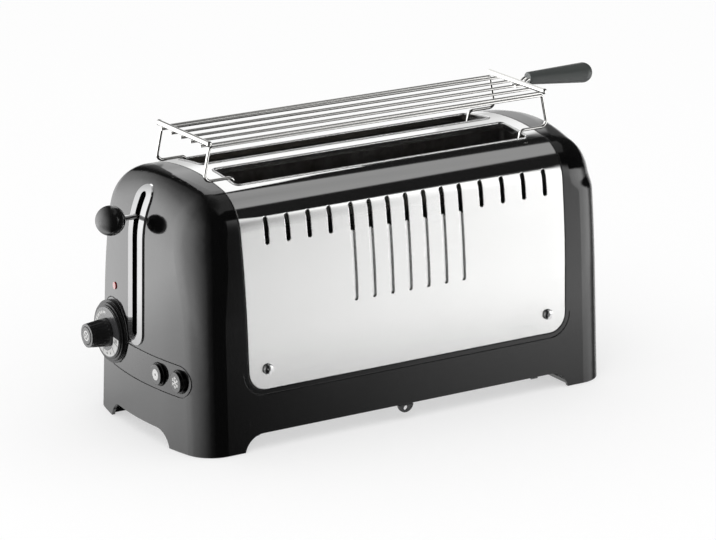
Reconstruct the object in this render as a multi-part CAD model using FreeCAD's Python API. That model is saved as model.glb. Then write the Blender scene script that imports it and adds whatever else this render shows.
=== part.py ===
import FreeCAD, Part
import math
import os

V = FreeCAD.Vector

# Frame: +X along the body towards the far end, -Y the front long side, +Z up.
# The origin is the middle of the footprint on the table. All sizes are in millimetres and degrees.

# Body form
body_length = 436.0
body_width = 189.3
body_height = 224.2
side_draft = 2.7
side_belly_radius = 818.0
side_lean = 8.5
shoulder_radius = 36.7
shoulder_end_angle = 78.2
end_bow_radius = 295.7
end_draft = 1.18
end_top_drop = 52.2
end_top_radius = 85.0
end_top_angle = 46.0
corner_radius = 28.0
corner_radius_shoulder = 37.0
casing_wall = 3.0

half_length = body_length / 2
half_width = body_width / 2
end_straight_height = body_height - end_top_drop

# Skirt and feet
foot_clearance = 0.5
skirt_edge_height = 14.6
skirt_foot_length = 52.6
skirt_foot_width = 43.75
skirt_arch_length = body_length - 2 * skirt_foot_length
skirt_arch_width = body_width - 2 * skirt_foot_width
skirt_arch_radius = 18.4
foot_floor_bottom = 2.0
foot_floor_thickness = 3.0
rubber_foot_radius = 9.0
rubber_stem_radius = 3.0
rubber_foot_inset_x = 34.0
rubber_foot_inset_y = 25.0

# Steel cover
cover_thickness = 1.0
cover_centre_x = 1.5
cover_end_margin = 55.5
cover_taper = 4.4
cover_length_top = body_length - 2 * cover_end_margin
cover_length_bottom = cover_length_top - cover_taper
cover_bottom = 52.7
cover_corner_radius = 16.0
cover_gap = 1.0
cover_ledge = 6.0
border_groove_offset = 4.6
border_groove_width = 0.8
border_groove_depth = 1.1

# Vents
vent_width = 4.3
vent_drop = 26.0
vent_length = 23.0
groove_length = 60.8
vent_top = body_height - vent_drop
vent_bottom = vent_top - vent_length
groove_bottom = vent_bottom - groove_length
groove_depth = 1.6
long_vent_count = 7
long_vent_pitch = 18.2
long_vent_centre_x = 2.0
short_vent_count = 4
short_vent_gap = 21.6
left_vent_pitch = 20.6
right_vent_pitch = 22.1

# Bread slots
slot_end_margin = 13.5
slot_length = cover_length_top - 2 * slot_end_margin
slot_inner_edge = 7.6
slot_outer_edge = 50.2
slot_centre_y = (slot_inner_edge + slot_outer_edge) / 2
slot_corner_radius = 6.0
rim_width = 2.0
rim_proud = 0.8
rim_depth = 5.5
rim_roll_radius = 1.4
rim_outer_radius = 0.4

# Base plate, tray and feet
base_plate_bottom = 19.0
base_plate_thickness = 1.2
base_top = base_plate_bottom + base_plate_thickness
base_plate_inset = 3.8
plate_gap_control = 5.5
plate_gap_far = 4.5
control_plate_x = cover_centre_x - slot_length / 2 - plate_gap_control
far_plate_x = cover_centre_x + slot_length / 2 + plate_gap_far
tray_centre_x = -5.0
tray_end_margin = 9.0
tray_front_recess = 16.65
tray_length = far_plate_x - control_plate_x - 2 * tray_end_margin
tray_front_y = tray_front_recess - half_width
tray_depth = -2 * tray_front_y
tray_lap_x = 9.0
tray_lap_y = 12.0
crumb_opening_length = tray_length - 2 * tray_lap_x
crumb_opening_width = tray_depth - 2 * tray_lap_y
tray_floor_bottom = 9.4
tray_sheet = 0.8
tray_wall_height = 4.4
tray_play = 0.2
pull_tab_radius = 7.7
pull_tab_centre_rise = 0.8
pull_tab_recess = 1.05
pull_tab_y = pull_tab_recess - half_width
pull_tab_thickness = 2.0
pull_strip_width = 9.0
pull_tab_hole_radius = 2.2
pull_tab_hole_drop = 3.0
runner_sheet = 0.8
runner_flange = 6.0

# Chassis
sheet = 1.0
chassis_inset = 6.0
top_plate_drop = 17.2
top_plate_height = body_height - top_plate_drop
plate_flange = 12.0
plate_room = 1.5
chassis_screw_y = 50.0
flange_end_margin = 10.0
wire_hole_y = 70.0
wire_hole_z = 40.0
wire_hole_radius = 4.0
outer_board_gap = 3.0
inner_board_gap = 4.4
reflector_gap = 7.2
outer_board_y = slot_outer_edge + outer_board_gap
inner_board_y = slot_inner_edge - inner_board_gap
reflector_y = outer_board_y + reflector_gap
reflector_sheet = 0.6
reflector_top_drop = 7.0
reflector_top = top_plate_height - reflector_top_drop
reflector_flange = 6.0

# Heating elements
mica_sheet = 0.8
board_bottom = 38.0
board_top_drop = 11.0
board_top = top_plate_height - board_top_drop
ribbon_thickness = 0.4
ribbon_width = 3.0
ribbon_rows = 9
ribbon_end_margin = 12.0
ribbon_row_margin = 12.0

# Bread guards
guard_wire_radius = 1.0
inner_guard_gap = 2.9
outer_guard_gap = 3.2
inner_guard_y = slot_inner_edge + inner_guard_gap
outer_guard_y = slot_outer_edge - outer_guard_gap
guard_bottom = 46.0
guard_top_drop = 4.0
guard_top = top_plate_height - guard_top_drop
guard_rail_low_rise = 14.0
guard_rail_high_drop = 13.0
guard_rail_low = guard_bottom + guard_rail_low_rise
guard_rail_high = guard_top - guard_rail_high_drop
guard_wire_count = 10
guard_end_margin = 12.0
guard_travel = 9.0
guard_relief = 1.6
weld_overlap = 0.1

# Carriage, lever and bread lifts
lever_drop = 33.2
lever_height = body_height - lever_drop
lever_travel = 95.0
lever_lift = 15.0
lever_ball_radius = 12.8
lever_ball_reach = 20.5
lever_ball_x = -half_length - lever_ball_reach
lever_rod_radius = 2.35
lever_rod_depth_in_ball = 8.0
lever_plate_width = 8.0
lever_plate_thickness = 3.0
carriage_drop = 73.0
carriage_bottom = lever_height - carriage_drop
carriage_height = 32.0
carriage_half_width = 36.0
control_slider_gap = 15.0
far_slider_gap = 13.5
control_slider_x = control_plate_x - control_slider_gap
far_slider_x = far_plate_x + far_slider_gap
guide_rod_radius = 3.0
control_rod_gap = 8.0
far_rod_gap = 9.0
control_rod_x = control_slider_x - control_rod_gap
far_rod_x = far_slider_x + far_rod_gap
bush_radius = 5.0
rod_clearance = 0.05
ear_half_width = 10.0
spring_ear_reach = 24.0
ear_end_clearance = 8.0
lever_plate_inner_x = control_rod_x - ear_end_clearance
lever_plate_outer_x = lever_plate_inner_x - lever_plate_width
lift_width = 13.0
lift_sheet = 1.2
lift_rise = 8.0
lift_top = carriage_bottom + lift_rise
lift_web = 6.8
lift_rib_count = 9
lift_rib_height = 2.0
lift_rib_width = 3.0
tongue_width = 6.0
armature_y = 14.0
armature_width = 18.0
armature_rise = 24.0
armature_reach = 18.0
armature_height = carriage_bottom + armature_rise
armature_outer_x = control_rod_x - armature_reach
armature_thickness = 2.0
rod_bracket_drop = 7.0
rod_bracket_height = top_plate_height - rod_bracket_drop
spring_radius = 3.5
spring_wire_radius = 0.5
spring_turns = 15
spring_y = -18.0

# Magnet and switch
magnet_gap = 0.3
magnet_core_width = 12.0
magnet_core_length = 12.0
coil_wall = 2.4
coil_foot_gap = 5.8
coil_top_gap = 4.7
switch_leaf_rise = 4.5
switch_notch_depth = 6.0
core_top = armature_height - armature_thickness - lever_travel - magnet_gap
coil_bottom = base_top + coil_foot_gap
coil_top = core_top - coil_top_gap
contact_top = armature_height - lever_travel - magnet_gap
switch_block_top = contact_top - switch_leaf_rise
contact_leaf_thickness = 0.6

# Control board and what stands on it
board_setback = 19.4
board_face_x = board_setback - half_length
board_thickness = 1.6
board_side_margin = 26.65
board_half_width = half_width - board_side_margin
dial_y = 45.0
dial_z = 78.0
board_below_dial = 28.0
board_above_dial = 12.0
control_board_bottom = dial_z - board_below_dial
control_board_top = dial_z + board_above_dial
tact_size = 6.0
tact_height = 3.0
pot_size = 14.0
pot_depth = 9.0
pot_shaft_radius = 3.5
pot_shaft_bore = 1.7

# Lever slot bezel and lens
bezel_width = 24.2
lever_slot_width = 8.2
lever_slot_spare_top = 5.5
lever_slot_spare_bottom = 9.0
lever_slot_top = lever_height + lever_lift + lever_slot_spare_top
lever_slot_bottom = lever_height - lever_travel - lever_slot_spare_bottom
bezel_border_top = 5.5
bezel_border_bottom = 8.4
bezel_top = lever_slot_top + bezel_border_top
bezel_bottom = lever_slot_bottom - bezel_border_bottom
bezel_proud = 1.3
bezel_seat = 0.5
lens_y = 43.0
lens_z = 119.0
lens_radius = 3.2
lens_proud = 0.9

# Dial
dial_radii = (27.5, 25.5, 23.4)
dial_step_reach = (-1.6, 0.8, 1.9)
dial_steps = [-half_length - reach for reach in dial_step_reach]
scale_ring_radius = 22.0
scale_ring_bore = 9.0
scale_ring_reach = 2.4
scale_ring_face_x = -half_length - scale_ring_reach
scale_ring_thickness = 1.0
knob_reach = 21.4
knob_face_x = -half_length - knob_reach
knob_base_radius = 12.4
knob_face_radius = 10.3
knob_gap = 0.6
knob_flute_count = 24
knob_flute_radius = 0.7
knob_lip = 2.2
cancel_radius = 7.6
cancel_gap = 0.35
cancel_proud = 0.5
cancel_cap_thickness = 2.4
cancel_travel = 1.5
cancel_stem_radius = 1.3
cancel_stem_length = 14.0

# Function buttons
button_radius = 9.0
button_collar_radius = 9.9
button_cap_height = 2.9
button_drop = 15.6
button_z = dial_z - button_drop
bagel_button_y = -36.0
bagel_button_reach = 0.1
bagel_button_face_x = -half_length - bagel_button_reach
defrost_button_y = -63.0
defrost_button_reach = -3.6
defrost_button_face_x = -half_length - defrost_button_reach
button_gap = 0.35
button_travel = 2.0
button_stem_radius = 2.4
fascia_groove_radius = 29.5
fascia_tail_radius = 13.8
fascia_tail_y = -62.4
fascia_groove_width = 0.8
fascia_groove_depth = 1.2

# Fasteners
panel_screw_z = 69.5
panel_screw_inset = 17.9
screw_head_radius = 4.8
screw_head_height = 2.2
screw_shank_radius = 2.0
screw_length = 9.0
screw_recess_radius = 2.0
screw_recess_depth = 1.2
base_screw_spacing = 130.0
base_boss_radius = 5.0
base_boss_inset = 8.15
base_boss_y = half_width - base_boss_inset
base_boss_height = 24.0
base_screw_radius = 1.7
base_screw_head = 3.6

# Cord gland and terminal block
gland_inset_x = 51.0
gland_x = gland_inset_x - half_length
gland_z = 36.0
gland_flange_radius = 9.0
gland_body_radius = 6.5
gland_bore_radius = 3.8
gland_length = 14.5
gland_recess = 0.15
gland_outer_y = half_width - gland_recess
gland_inner_y = gland_outer_y - gland_length
terminal_inset_x = 26.0
terminal_y = 44.0
terminal_length = 26.0
terminal_width = 16.0
terminal_height = 13.0
terminal_hole_radius = 2.4
terminal_hole_depth = 8.0

# Warming rack
rack_offset = 0.2
rack_bar_overhang = 20.1
rack_rise = 32.2
rack_centre_x = cover_centre_x + rack_offset
rack_bar_spacing = slot_length + 2 * rack_bar_overhang
rack_height = body_height + rack_rise
rack_bar_radius = 2.3
rack_wire_radius = 1.3
rack_wire_count = 5
rack_wire_pitch = 16.5
rack_wire_overhang = 3.4
rack_leg_y = 40.3
rack_bar_end = 1.5
rack_bar_half_length = rack_leg_y + rack_bar_end
rack_leg_radius = 1.4
rack_leg_inset = 1.4
rack_leg_splay = 6.1
rack_foot_drop = 0.2
rack_hook_inset = 6.1
rack_hook_lean = 3.0
rack_hook_bend = 4.3
rack_hook_drop = 11.7
rack_foot_bend = 5.5
rack_top_bend = 3.0
rack_leg_top_spread = rack_bar_spacing - 2 * rack_leg_inset
rack_foot_spread = rack_leg_top_spread + 2 * rack_leg_splay
rack_foot_height = body_height - rack_foot_drop
rack_hook_spacing = slot_length - 2 * rack_hook_inset
rack_hook_bottom = body_height - rack_hook_drop
cap_length = 2.2
cap_radius = 2.6
grip_gap = 11.2
grip_rise = 1.4
grip_start_x = rack_centre_x + rack_bar_spacing / 2 + grip_gap
grip_start_z = rack_height + grip_rise
grip_length = 68.7
grip_thin_radius = 5.7
grip_fat_radius = 9.1
grip_tilt = 2.3
stem_radius = 1.3
stem_spacing = 5.6
stem_depth_in_grip = 22.0
stem_weld_relief = 0.03

far = 2 * body_length
cover_top_z = body_height + 76


def polar(angle):
    """Unit vector (across, up) of the outward normal where the wall leans in by angle."""
    return math.cos(math.radians(angle)), math.sin(math.radians(angle))


def shifted(point, angle, inset):
    n = polar(angle)
    return point[0] - inset * n[0], point[1] - inset * n[1]


def along_arc(point, start, end, radius):
    """Where an arc ends that leaves point leaning in by start and turns to end."""
    a, b = polar(start), polar(end)
    return point[0] - radius * (a[0] - b[0]), point[1] + radius * (b[1] - a[1])


def box(x0, x1, y0, y1, z0, z1):
    return Part.makeBox(x1 - x0, y1 - y0, z1 - z0, V(x0, y0, z0))


def rod(start, end, radius):
    axis = V(*end) - V(*start)
    return Part.makeCylinder(radius, axis.Length, V(*start), axis)


def mirrored_y(shape):
    return shape.mirror(V(0, 0, 0), V(0, 1, 0))


def both_sides(shape):
    return [shape, mirrored_y(shape)]


def join(shapes):
    first, rest = shapes[0], shapes[1:]
    return first.fuse(rest).removeSplitter() if rest else first


def group(shapes):
    return Part.makeCompound(shapes)


def rounded_rectangle(width, height, radius):
    """Centred wire in the XY plane."""
    w, h, r = width / 2, height / 2, radius
    k = r * (1 - math.sqrt(0.5))
    corners = [(w, h), (-w, h), (-w, -h), (w, -h)]
    edges = []
    ends = []
    for cx, cy in corners:
        sx, sy = math.copysign(1, cx), math.copysign(1, cy)
        upright = V(cx, cy - sy * r, 0)
        level = V(cx - sx * r, cy, 0)
        middle = V(cx - sx * k, cy - sy * k, 0)
        first, last = (upright, level) if sx == sy else (level, upright)
        edges.append(Part.Arc(first, middle, last).toShape())
        ends.append((first, last))
    for i in range(4):
        edges.append(Part.LineSegment(ends[i][1], ends[(i + 1) % 4][0]).toShape())
    return Part.Wire(Part.__sortEdges__(edges))


def plate_along(wire, axis, start, end):
    """Solid of a wire drawn in XY, stood up so that its X and Y become the two axes across."""
    solid = Part.Face(wire).extrude(V(0, 0, end - start))
    if axis == "x":
        solid.rotate(V(0, 0, 0), V(1, 1, 1), 120)
        solid.translate(V(start, 0, 0))
    elif axis == "y":
        solid.rotate(V(0, 0, 0), V(1, 0, 0), 90)
        solid.translate(V(0, end, 0))
    else:
        solid.translate(V(0, 0, start))
    return solid


def stadium_yz(width, bottom, top, x0, x1, centre_y=0.0):
    """Upright slot shape seen from the end, run along X from x0 to x1."""
    r = width / 2
    solid = join([
        box(x0, x1, centre_y - r, centre_y + r, bottom + r, top - r),
        rod((x0, centre_y, bottom + r), (x1, centre_y, bottom + r), r),
        rod((x0, centre_y, top - r), (x1, centre_y, top - r), r)])
    return solid


def bent_wire(points, bends, radius):
    """Round wire through straight runs joined by tangent arcs."""
    pts = [V(*p) for p in points]
    edges = []
    last = pts[0]
    for i in range(1, len(pts) - 1):
        before = (pts[i - 1] - pts[i]).normalize()
        after = (pts[i + 1] - pts[i]).normalize()
        half = math.acos(max(-1.0, min(1.0, before.dot(after)))) / 2
        reach = bends[i - 1] / math.tan(half)
        middle = (before + after).normalize() * (bends[i - 1] / math.sin(half) - bends[i - 1])
        arc_start, arc_end = pts[i] + before * reach, pts[i] + after * reach
        edges.append(Part.LineSegment(last, arc_start).toShape())
        edges.append(Part.Arc(arc_start, pts[i] + middle, arc_end).toShape())
        last = arc_end
    edges.append(Part.LineSegment(last, pts[-1]).toShape())
    path = Part.Wire(edges)
    ring = Part.Wire(Part.makeCircle(radius, pts[0], pts[1] - pts[0]))
    return path.makePipeShell([ring], True, True)


# Side section of the body: straight drafted wall, slight belly, shoulder, crown.
crown_share = (1 - polar(shoulder_end_angle)[1]) / polar(shoulder_end_angle)[0]
belly_end = along_arc((0, 0), side_draft, side_lean, side_belly_radius)
shoulder_step = along_arc((0, 0), side_lean, shoulder_end_angle, shoulder_radius)
rise_after_wall = belly_end[1] + shoulder_step[1]
run_after_wall = -(belly_end[0] + shoulder_step[0])
draft_slope = math.tan(math.radians(side_draft))
wall_height = ((body_height - rise_after_wall - crown_share * (half_width - run_after_wall))
               / (1 - crown_share * draft_slope))
section_base = (half_width, 0.0)
section_wall = (half_width - wall_height * draft_slope, wall_height)
section_belly = along_arc(section_wall, side_draft, side_lean, side_belly_radius)
section_shoulder = along_arc(section_belly, side_lean, shoulder_end_angle, shoulder_radius)
crown_radius = section_shoulder[0] / polar(shoulder_end_angle)[0]


def section_arc(start, a, b, radius, inset):
    """Start, middle and end of one arc of the section, moved in by inset."""
    middle_angle = (a + b) / 2
    middle = along_arc(start, a, middle_angle, radius)
    end = along_arc(start, a, b, radius)
    return shifted(start, a, inset), shifted(middle, middle_angle, inset), shifted(end, b, inset)


def side_prism(inset, x0=-far, x1=far):
    """Body section moved in by inset and run along X."""
    below = -20.0
    base = shifted(section_base, side_draft, inset)
    foot = (base[0] + (base[1] - below) * draft_slope, below)
    belly = section_arc(section_wall, side_draft, side_lean, side_belly_radius, inset)
    shoulder = section_arc(section_belly, side_lean, shoulder_end_angle, shoulder_radius, inset)
    crown = (0.0, body_height - inset)
    half_angle = math.radians((90 - shoulder_end_angle) / 2)
    reach = crown_radius - inset
    halfway = (reach * math.sin(half_angle), crown[1] - reach * (1 - math.cos(half_angle)))

    def at(p, side):
        return V(x0, side * p[0], p[1])

    edges = [Part.LineSegment(at(foot, -1), at(foot, 1)).toShape()]
    for side in (-1, 1):
        edges.append(Part.Arc(at(shoulder[2], side), at(halfway, side), at(crown, side)).toShape())
        edges.append(Part.LineSegment(at(foot, side), at(belly[0], side)).toShape())
        edges.append(Part.Arc(*[at(p, side) for p in belly]).toShape())
        edges.append(Part.Arc(*[at(p, side) for p in shoulder]).toShape())
    wire = Part.Wire(Part.__sortEdges__(edges))
    return Part.Face(wire).extrude(V(x1 - x0, 0, 0))


def end_dome(inset, end):
    """Bowed, drafted end face with its rounded top, as a solid turned about an upright axis."""
    below = -20.0
    slope = math.tan(math.radians(end_draft))
    base = shifted((end_bow_radius, 0.0), end_draft, inset)
    wall = (end_bow_radius - end_straight_height * slope, end_straight_height)
    top = section_arc(wall, end_draft, end_top_angle, end_top_radius, inset)
    foot = (base[0] + (base[1] - below) * slope, below)
    away = -end

    def at(p):
        return V(away * p[0], 0, p[1])

    axis_top, axis_bottom = (0.0, top[2][1]), (0.0, below)
    edges = [Part.LineSegment(at(axis_bottom), at(foot)).toShape(),
             Part.LineSegment(at(foot), at(top[0])).toShape(),
             Part.Arc(at(top[0]), at(top[1]), at(top[2])).toShape(),
             Part.LineSegment(at(top[2]), at(axis_top)).toShape(),
             Part.LineSegment(at(axis_top), at(axis_bottom)).toShape()]
    solid = Part.Face(Part.Wire(edges)).revolve(V(0, 0, 0), V(0, 0, 1), 360)
    solid.translate(V(end * (half_length - end_bow_radius), 0, 0))
    return solid


def corner_radius_at(point):
    """The vertical corners widen towards the shoulders and narrow again over the crown."""
    if abs(point.y) < 1:
        return corner_radius
    share = (point.z - section_wall[1]) / (section_belly[1] - section_wall[1])
    return corner_radius + (corner_radius_shoulder - corner_radius) * max(0.0, min(1.0, share))


def corner_edges(solid, inset):
    """(edge number, radius at its start, radius at its end) where the domes meet the sides and crown."""
    picked = []
    for number, edge in enumerate(solid.Edges, 1):
        b = edge.BoundBox
        if b.ZLength > 0.01 and b.XLength < 100 and abs(edge.CenterOfMass.x) > half_length / 2:
            ends = [edge.valueAt(edge.FirstParameter), edge.valueAt(edge.LastParameter)]
            picked.append((number, corner_radius_at(ends[0]) - inset, corner_radius_at(ends[1]) - inset))
    return picked


def body_solid(inset):
    solid = side_prism(inset).common(end_dome(inset, -1)).common(end_dome(inset, 1))
    doc = FreeCAD.newDocument("corners")
    sharp = doc.addObject("Part::Feature", "sharp")
    sharp.Shape = solid
    soft = doc.addObject("Part::Fillet", "soft")
    soft.Base = sharp
    soft.Edges = corner_edges(solid, inset)
    doc.recompute()
    result = soft.Shape.copy()
    FreeCAD.closeDocument(doc.Name)
    return result


def cover_zone(grow):
    """Space over the long sides and top that the steel cover takes, grown by grow all round."""
    slope = (cover_length_top - cover_length_bottom) / 2 / (body_height - cover_bottom)
    low = cover_bottom - grow
    half_low = cover_length_bottom / 2 + grow - grow * slope
    half_high = half_low + slope * (cover_top_z - low)
    corners = [V(cover_centre_x - half_low, 0, low), V(cover_centre_x + half_low, 0, low),
               V(cover_centre_x + half_high, 0, cover_top_z), V(cover_centre_x - half_high, 0, cover_top_z)]
    solid = Part.Face(Part.makePolygon(corners + corners[:1])).extrude(V(0, 2 * far, 0))
    solid.translate(V(0, -far, 0))
    rounded = [e for e in solid.Edges if e.BoundBox.YLength > far and e.BoundBox.ZMax < low + 1]
    return solid.makeFillet(cover_corner_radius + grow, rounded)


bodies = {}


def body(inset):
    if inset not in bodies:
        bodies[inset] = body_solid(inset)
    return bodies[inset].copy()


def surface_y(z, inset=0.0):
    """Half width of the body at a height on its straight wall."""
    return shifted(section_base, side_draft, inset)[0] - z * draft_slope


# Casing
def arch(length, height, radius, axis):
    """Cutter with rounded upper corners for the gap between two feet."""
    depth = 4 * radius
    cutter = plate_along(rounded_rectangle(length, depth, radius), axis, -far, far)
    cutter.translate(V(0, 0, height - depth / 2))
    return cutter


def end_openings():
    """Cutters in the control end for the lever, dial, buttons and lens."""
    x0, x1 = -half_length - 20, -half_length + 60
    cutters = [stadium_yz(lever_slot_width + 2, lever_slot_bottom - 1, lever_slot_top + 1, x0, x1),
               rod((x0, dial_y, dial_z), (x1, dial_y, dial_z), pot_shaft_radius + 3),
               rod((x0, lens_y, lens_z), (x1, lens_y, lens_z), lens_radius)]
    for y in (bagel_button_y, defrost_button_y):
        cutters.append(rod((x0, y, button_z), (x1, y, button_z), button_collar_radius + button_gap))
    return cutters


def fascia_outline(grow):
    """Pea-pod outline round the dial and the buttons, seen from the control end."""
    x0, x1 = -half_length - 20, -half_length + 60
    big, small = fascia_groove_radius + grow, fascia_tail_radius + grow
    tail_z = dial_z - fascia_groove_radius + fascia_tail_radius
    tail = box(x0, x1, fascia_tail_y, dial_y, tail_z - small, tail_z + small)
    return join([rod((x0, dial_y, dial_z), (x1, dial_y, dial_z), big), tail,
                 rod((x0, fascia_tail_y, tail_z), (x1, fascia_tail_y, tail_z), small)])


def outer_casing():
    shell = body(0.0).cut(body(casing_wall))
    below = box(-far, far, -far, far, -far, foot_clearance)
    shell = shell.cut([below, arch(skirt_arch_length, skirt_edge_height, skirt_arch_radius, "y"),
                       arch(skirt_arch_width, skirt_edge_height, skirt_arch_radius, "x")])
    seat = cover_zone(cover_gap).cut(side_prism(cover_thickness))
    shell = shell.cut([cover_zone(-cover_ledge), seat])
    border = cover_zone(border_groove_offset + border_groove_width).cut(cover_zone(border_groove_offset))
    line = fascia_outline(fascia_groove_width / 2).cut(fascia_outline(-fascia_groove_width / 2))
    shell = shell.cut([border.cut(side_prism(border_groove_depth)).common(
                           box(-far, far, -far, far, 0, cover_bottom + cover_corner_radius)),
                       line.cut(body(fascia_groove_depth))])
    bezel_seat_cutter = stadium_yz(bezel_width, bezel_bottom, bezel_top, -far, -half_length + 60)
    shell = shell.cut([bezel_seat_cutter.cut(body(bezel_seat))] + end_openings())
    gland_hole = rod((gland_x, 0, gland_z), (gland_x, far, gland_z), gland_body_radius)
    bosses = []
    for x, y in base_screw_places():
        boss = rod((x, y, base_top), (x, y, base_top + base_boss_height), base_boss_radius)
        bosses.append(boss.common(body(casing_wall / 2)))
    floors = []
    for sx in (-1, 1):
        for sy in (-1, 1):
            x0, x1 = sorted((sx * skirt_arch_length / 2, sx * far))
            y0, y1 = sorted((sy * skirt_arch_width / 2, sy * far))
            floors.append(box(x0, x1, y0, y1, foot_floor_bottom, foot_floor_bottom + foot_floor_thickness)
                          .common(body(casing_wall / 2)))
    holes = [rod((x, y, 0), (x, y, base_top + base_boss_height - 4), base_screw_radius)
             for x, y in base_screw_places()]
    holes += [rod((x, y, 0), (x, y, 20), rubber_stem_radius) for x, y in foot_places()]
    return join([shell] + bosses + floors).cut([gland_hole] + holes)


def base_screw_places():
    return [(i * base_screw_spacing, side * base_boss_y) for i in (-1, 0, 1) for side in (-1, 1)]


def foot_places():
    return [(sx * (half_length - rubber_foot_inset_x), sy * (half_width - rubber_foot_inset_y))
            for sx in (-1, 1) for sy in (-1, 1)]


def rubber_feet():
    feet = []
    top = foot_floor_bottom + foot_floor_thickness
    for x, y in foot_places():
        feet.append(join([rod((x, y, 0), (x, y, foot_floor_bottom), rubber_foot_radius),
                          rod((x, y, 0), (x, y, top), rubber_stem_radius)]))
    return group(feet)


# Steel cover and slot rims
def vent_places():
    """(x, is long) of each vent, from the control end to the far end."""
    half = (long_vent_count - 1) / 2
    longs = [long_vent_centre_x + (i - half) * long_vent_pitch for i in range(long_vent_count)]
    places = [(x, True) for x in longs]
    for i in range(short_vent_count):
        places.append((longs[0] - short_vent_gap - i * left_vent_pitch, False))
        places.append((longs[-1] + short_vent_gap + i * right_vent_pitch, False))
    return sorted(places)


def stadium_xz(x, width, bottom, top, y0, y1):
    r = width / 2
    return join([box(x - r, x + r, y0, y1, bottom + r, top - r),
                 rod((x, y0, bottom + r), (x, y1, bottom + r), r),
                 rod((x, y0, top - r), (x, y1, top - r), r)])


def slot_cutter(inset, z0, z1):
    """Front bread slot seen from above, made smaller by inset all round."""
    wire = rounded_rectangle(slot_length - 2 * inset, slot_outer_edge - slot_inner_edge - 2 * inset,
                             slot_corner_radius - inset)
    solid = plate_along(wire, "z", z0, z1)
    solid.translate(V(cover_centre_x, -(slot_outer_edge + slot_inner_edge) / 2, 0))
    return solid


def steel_cover():
    zone = cover_zone(0.0)
    outer, inner = side_prism(0.0), side_prism(cover_thickness)
    sheet_body = zone.common(outer.cut(inner))
    backs, channels, slots = [], [], []
    for x, is_long in vent_places():
        slots.append(stadium_xz(x, vent_width, vent_bottom, vent_top, -far, far))
        if is_long:
            channels.append(stadium_xz(x, vent_width, groove_bottom, vent_bottom + vent_width, -far, far))
            backs.append(stadium_xz(x, vent_width + 1.2, groove_bottom - 0.6, vent_bottom - 0.6, -far, far))
    back_layer = inner.cut(side_prism(groove_depth + cover_thickness / 2))
    cut_layer = outer.cut(side_prism(groove_depth))
    sheet_body = sheet_body.fuse([b.common(back_layer) for b in backs])
    cutters = [c.common(cut_layer) for c in channels] + slots
    cutters += both_sides(slot_cutter(0.0, body_height - 40, body_height + 20))
    cutters += [rod((x, -far, panel_screw_z), (x, far, panel_screw_z), screw_shank_radius + 0.2)
                for x in panel_screw_places()]
    return sheet_body.cut(cutters).removeSplitter()


def crown_height(y):
    return body_height - crown_radius + math.sqrt(crown_radius ** 2 - y ** 2)


def edge_middle(edge):
    return edge.valueAt((edge.FirstParameter + edge.LastParameter) / 2)


def slot_rim():
    """Rolled rim of the front slot: a bead that stands a little above the cover and turns down inside."""
    z0 = top_plate_height
    ring = slot_cutter(0.0, z0, far).cut(slot_cutter(rim_width, z0 - 1, far + 1))
    ring = ring.common(side_prism(-rim_proud)).cut(side_prism(rim_depth))
    middle = slot_cutter(rim_width / 2, z0, far)
    inner, outer = [], []
    for edge in ring.Edges:
        p = edge_middle(edge)
        level = edge.BoundBox.XLength > 0.01 or edge.BoundBox.YLength > 0.01
        if level and p.z > crown_height(p.y) - rim_proud:
            (inner if middle.isInside(p, 0.01, True) else outer).append(edge)
    places = [edge_middle(edge) for edge in outer]
    ring = ring.makeFillet(rim_roll_radius, inner)
    outer = [edge for edge in ring.Edges if min(edge_middle(edge).distanceToPoint(p) for p in places) < 0.05]
    return ring.makeFillet(rim_outer_radius, outer)


# Fasteners
def panel_screw_places():
    half = cover_length_bottom / 2 - panel_screw_inset
    return [cover_centre_x - half, cover_centre_x + half]


def button_head_screw(x, y, z, side):
    """Screw whose head stands on the cover; side is +1 for the rear and -1 for the front."""
    head = rod((x, y, z), (x, y + side * screw_head_height, z), screw_head_radius)
    outer = [e for e in head.Edges if abs(e.CenterOfMass.y - (y + side * screw_head_height)) < 0.01]
    head = head.makeFillet(screw_head_height * 0.8, [outer[0]])
    drive = rod((x, y + side * screw_head_height, z),
                (x, y + side * (screw_head_height - screw_recess_depth), z), screw_recess_radius)
    shank = rod((x, y, z), (x, y - side * screw_length, z), screw_shank_radius)
    screw = join([head.cut(drive), shank])
    screw.rotate(V(x, y, z), V(1, 0, 0), -side * -side_draft)
    return screw


def panel_screws():
    y = surface_y(panel_screw_z)
    screws = []
    for x in panel_screw_places():
        front = button_head_screw(x, -y, panel_screw_z, -1)
        screws += [front, mirrored_y(front)]
    return group(screws)


def panel_brackets():
    """Angle pieces that carry the cover's screws out from the reflectors."""
    brackets = []
    outer = surface_y(panel_screw_z, cover_thickness)
    for x in panel_screw_places():
        arm = box(x - 7, x + 7, -outer, -reflector_y - reflector_sheet, panel_screw_z - 8, panel_screw_z - 6.5)
        tab = box(x - 7, x + 7, -outer - 2, -outer + 3.4, panel_screw_z - 8, panel_screw_z + 7)
        tab = tab.common(side_prism(cover_thickness)).cut(side_prism(cover_thickness + 1.5))
        arm = arm.common(side_prism(cover_thickness + 0.5))
        piece = join([arm, tab]).cut(rod((x, -far, panel_screw_z), (x, 0, panel_screw_z),
                                         screw_shank_radius + 0.2))
        brackets += both_sides(piece)
    return group(brackets)


def base_screws():
    screws = []
    for x, y in base_screw_places():
        screws.append(join([rod((x, y, base_plate_bottom - 2), (x, y, base_plate_bottom), base_screw_head),
                            rod((x, y, base_plate_bottom - 1), (x, y, base_plate_bottom + 16),
                                base_screw_radius)]))
    for x, y in chassis_screw_places():
        screws.append(join([rod((x, y, base_plate_bottom - 2), (x, y, base_plate_bottom), base_screw_head),
                            rod((x, y, base_plate_bottom - 1), (x, y, base_top + 4), base_screw_radius)]))
    return group(screws)


def chassis_screw_places():
    return [(x, y) for x in (control_plate_x - plate_flange / 2, far_plate_x + sheet + plate_flange / 2)
            for y in (-chassis_screw_y, chassis_screw_y)]


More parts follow.
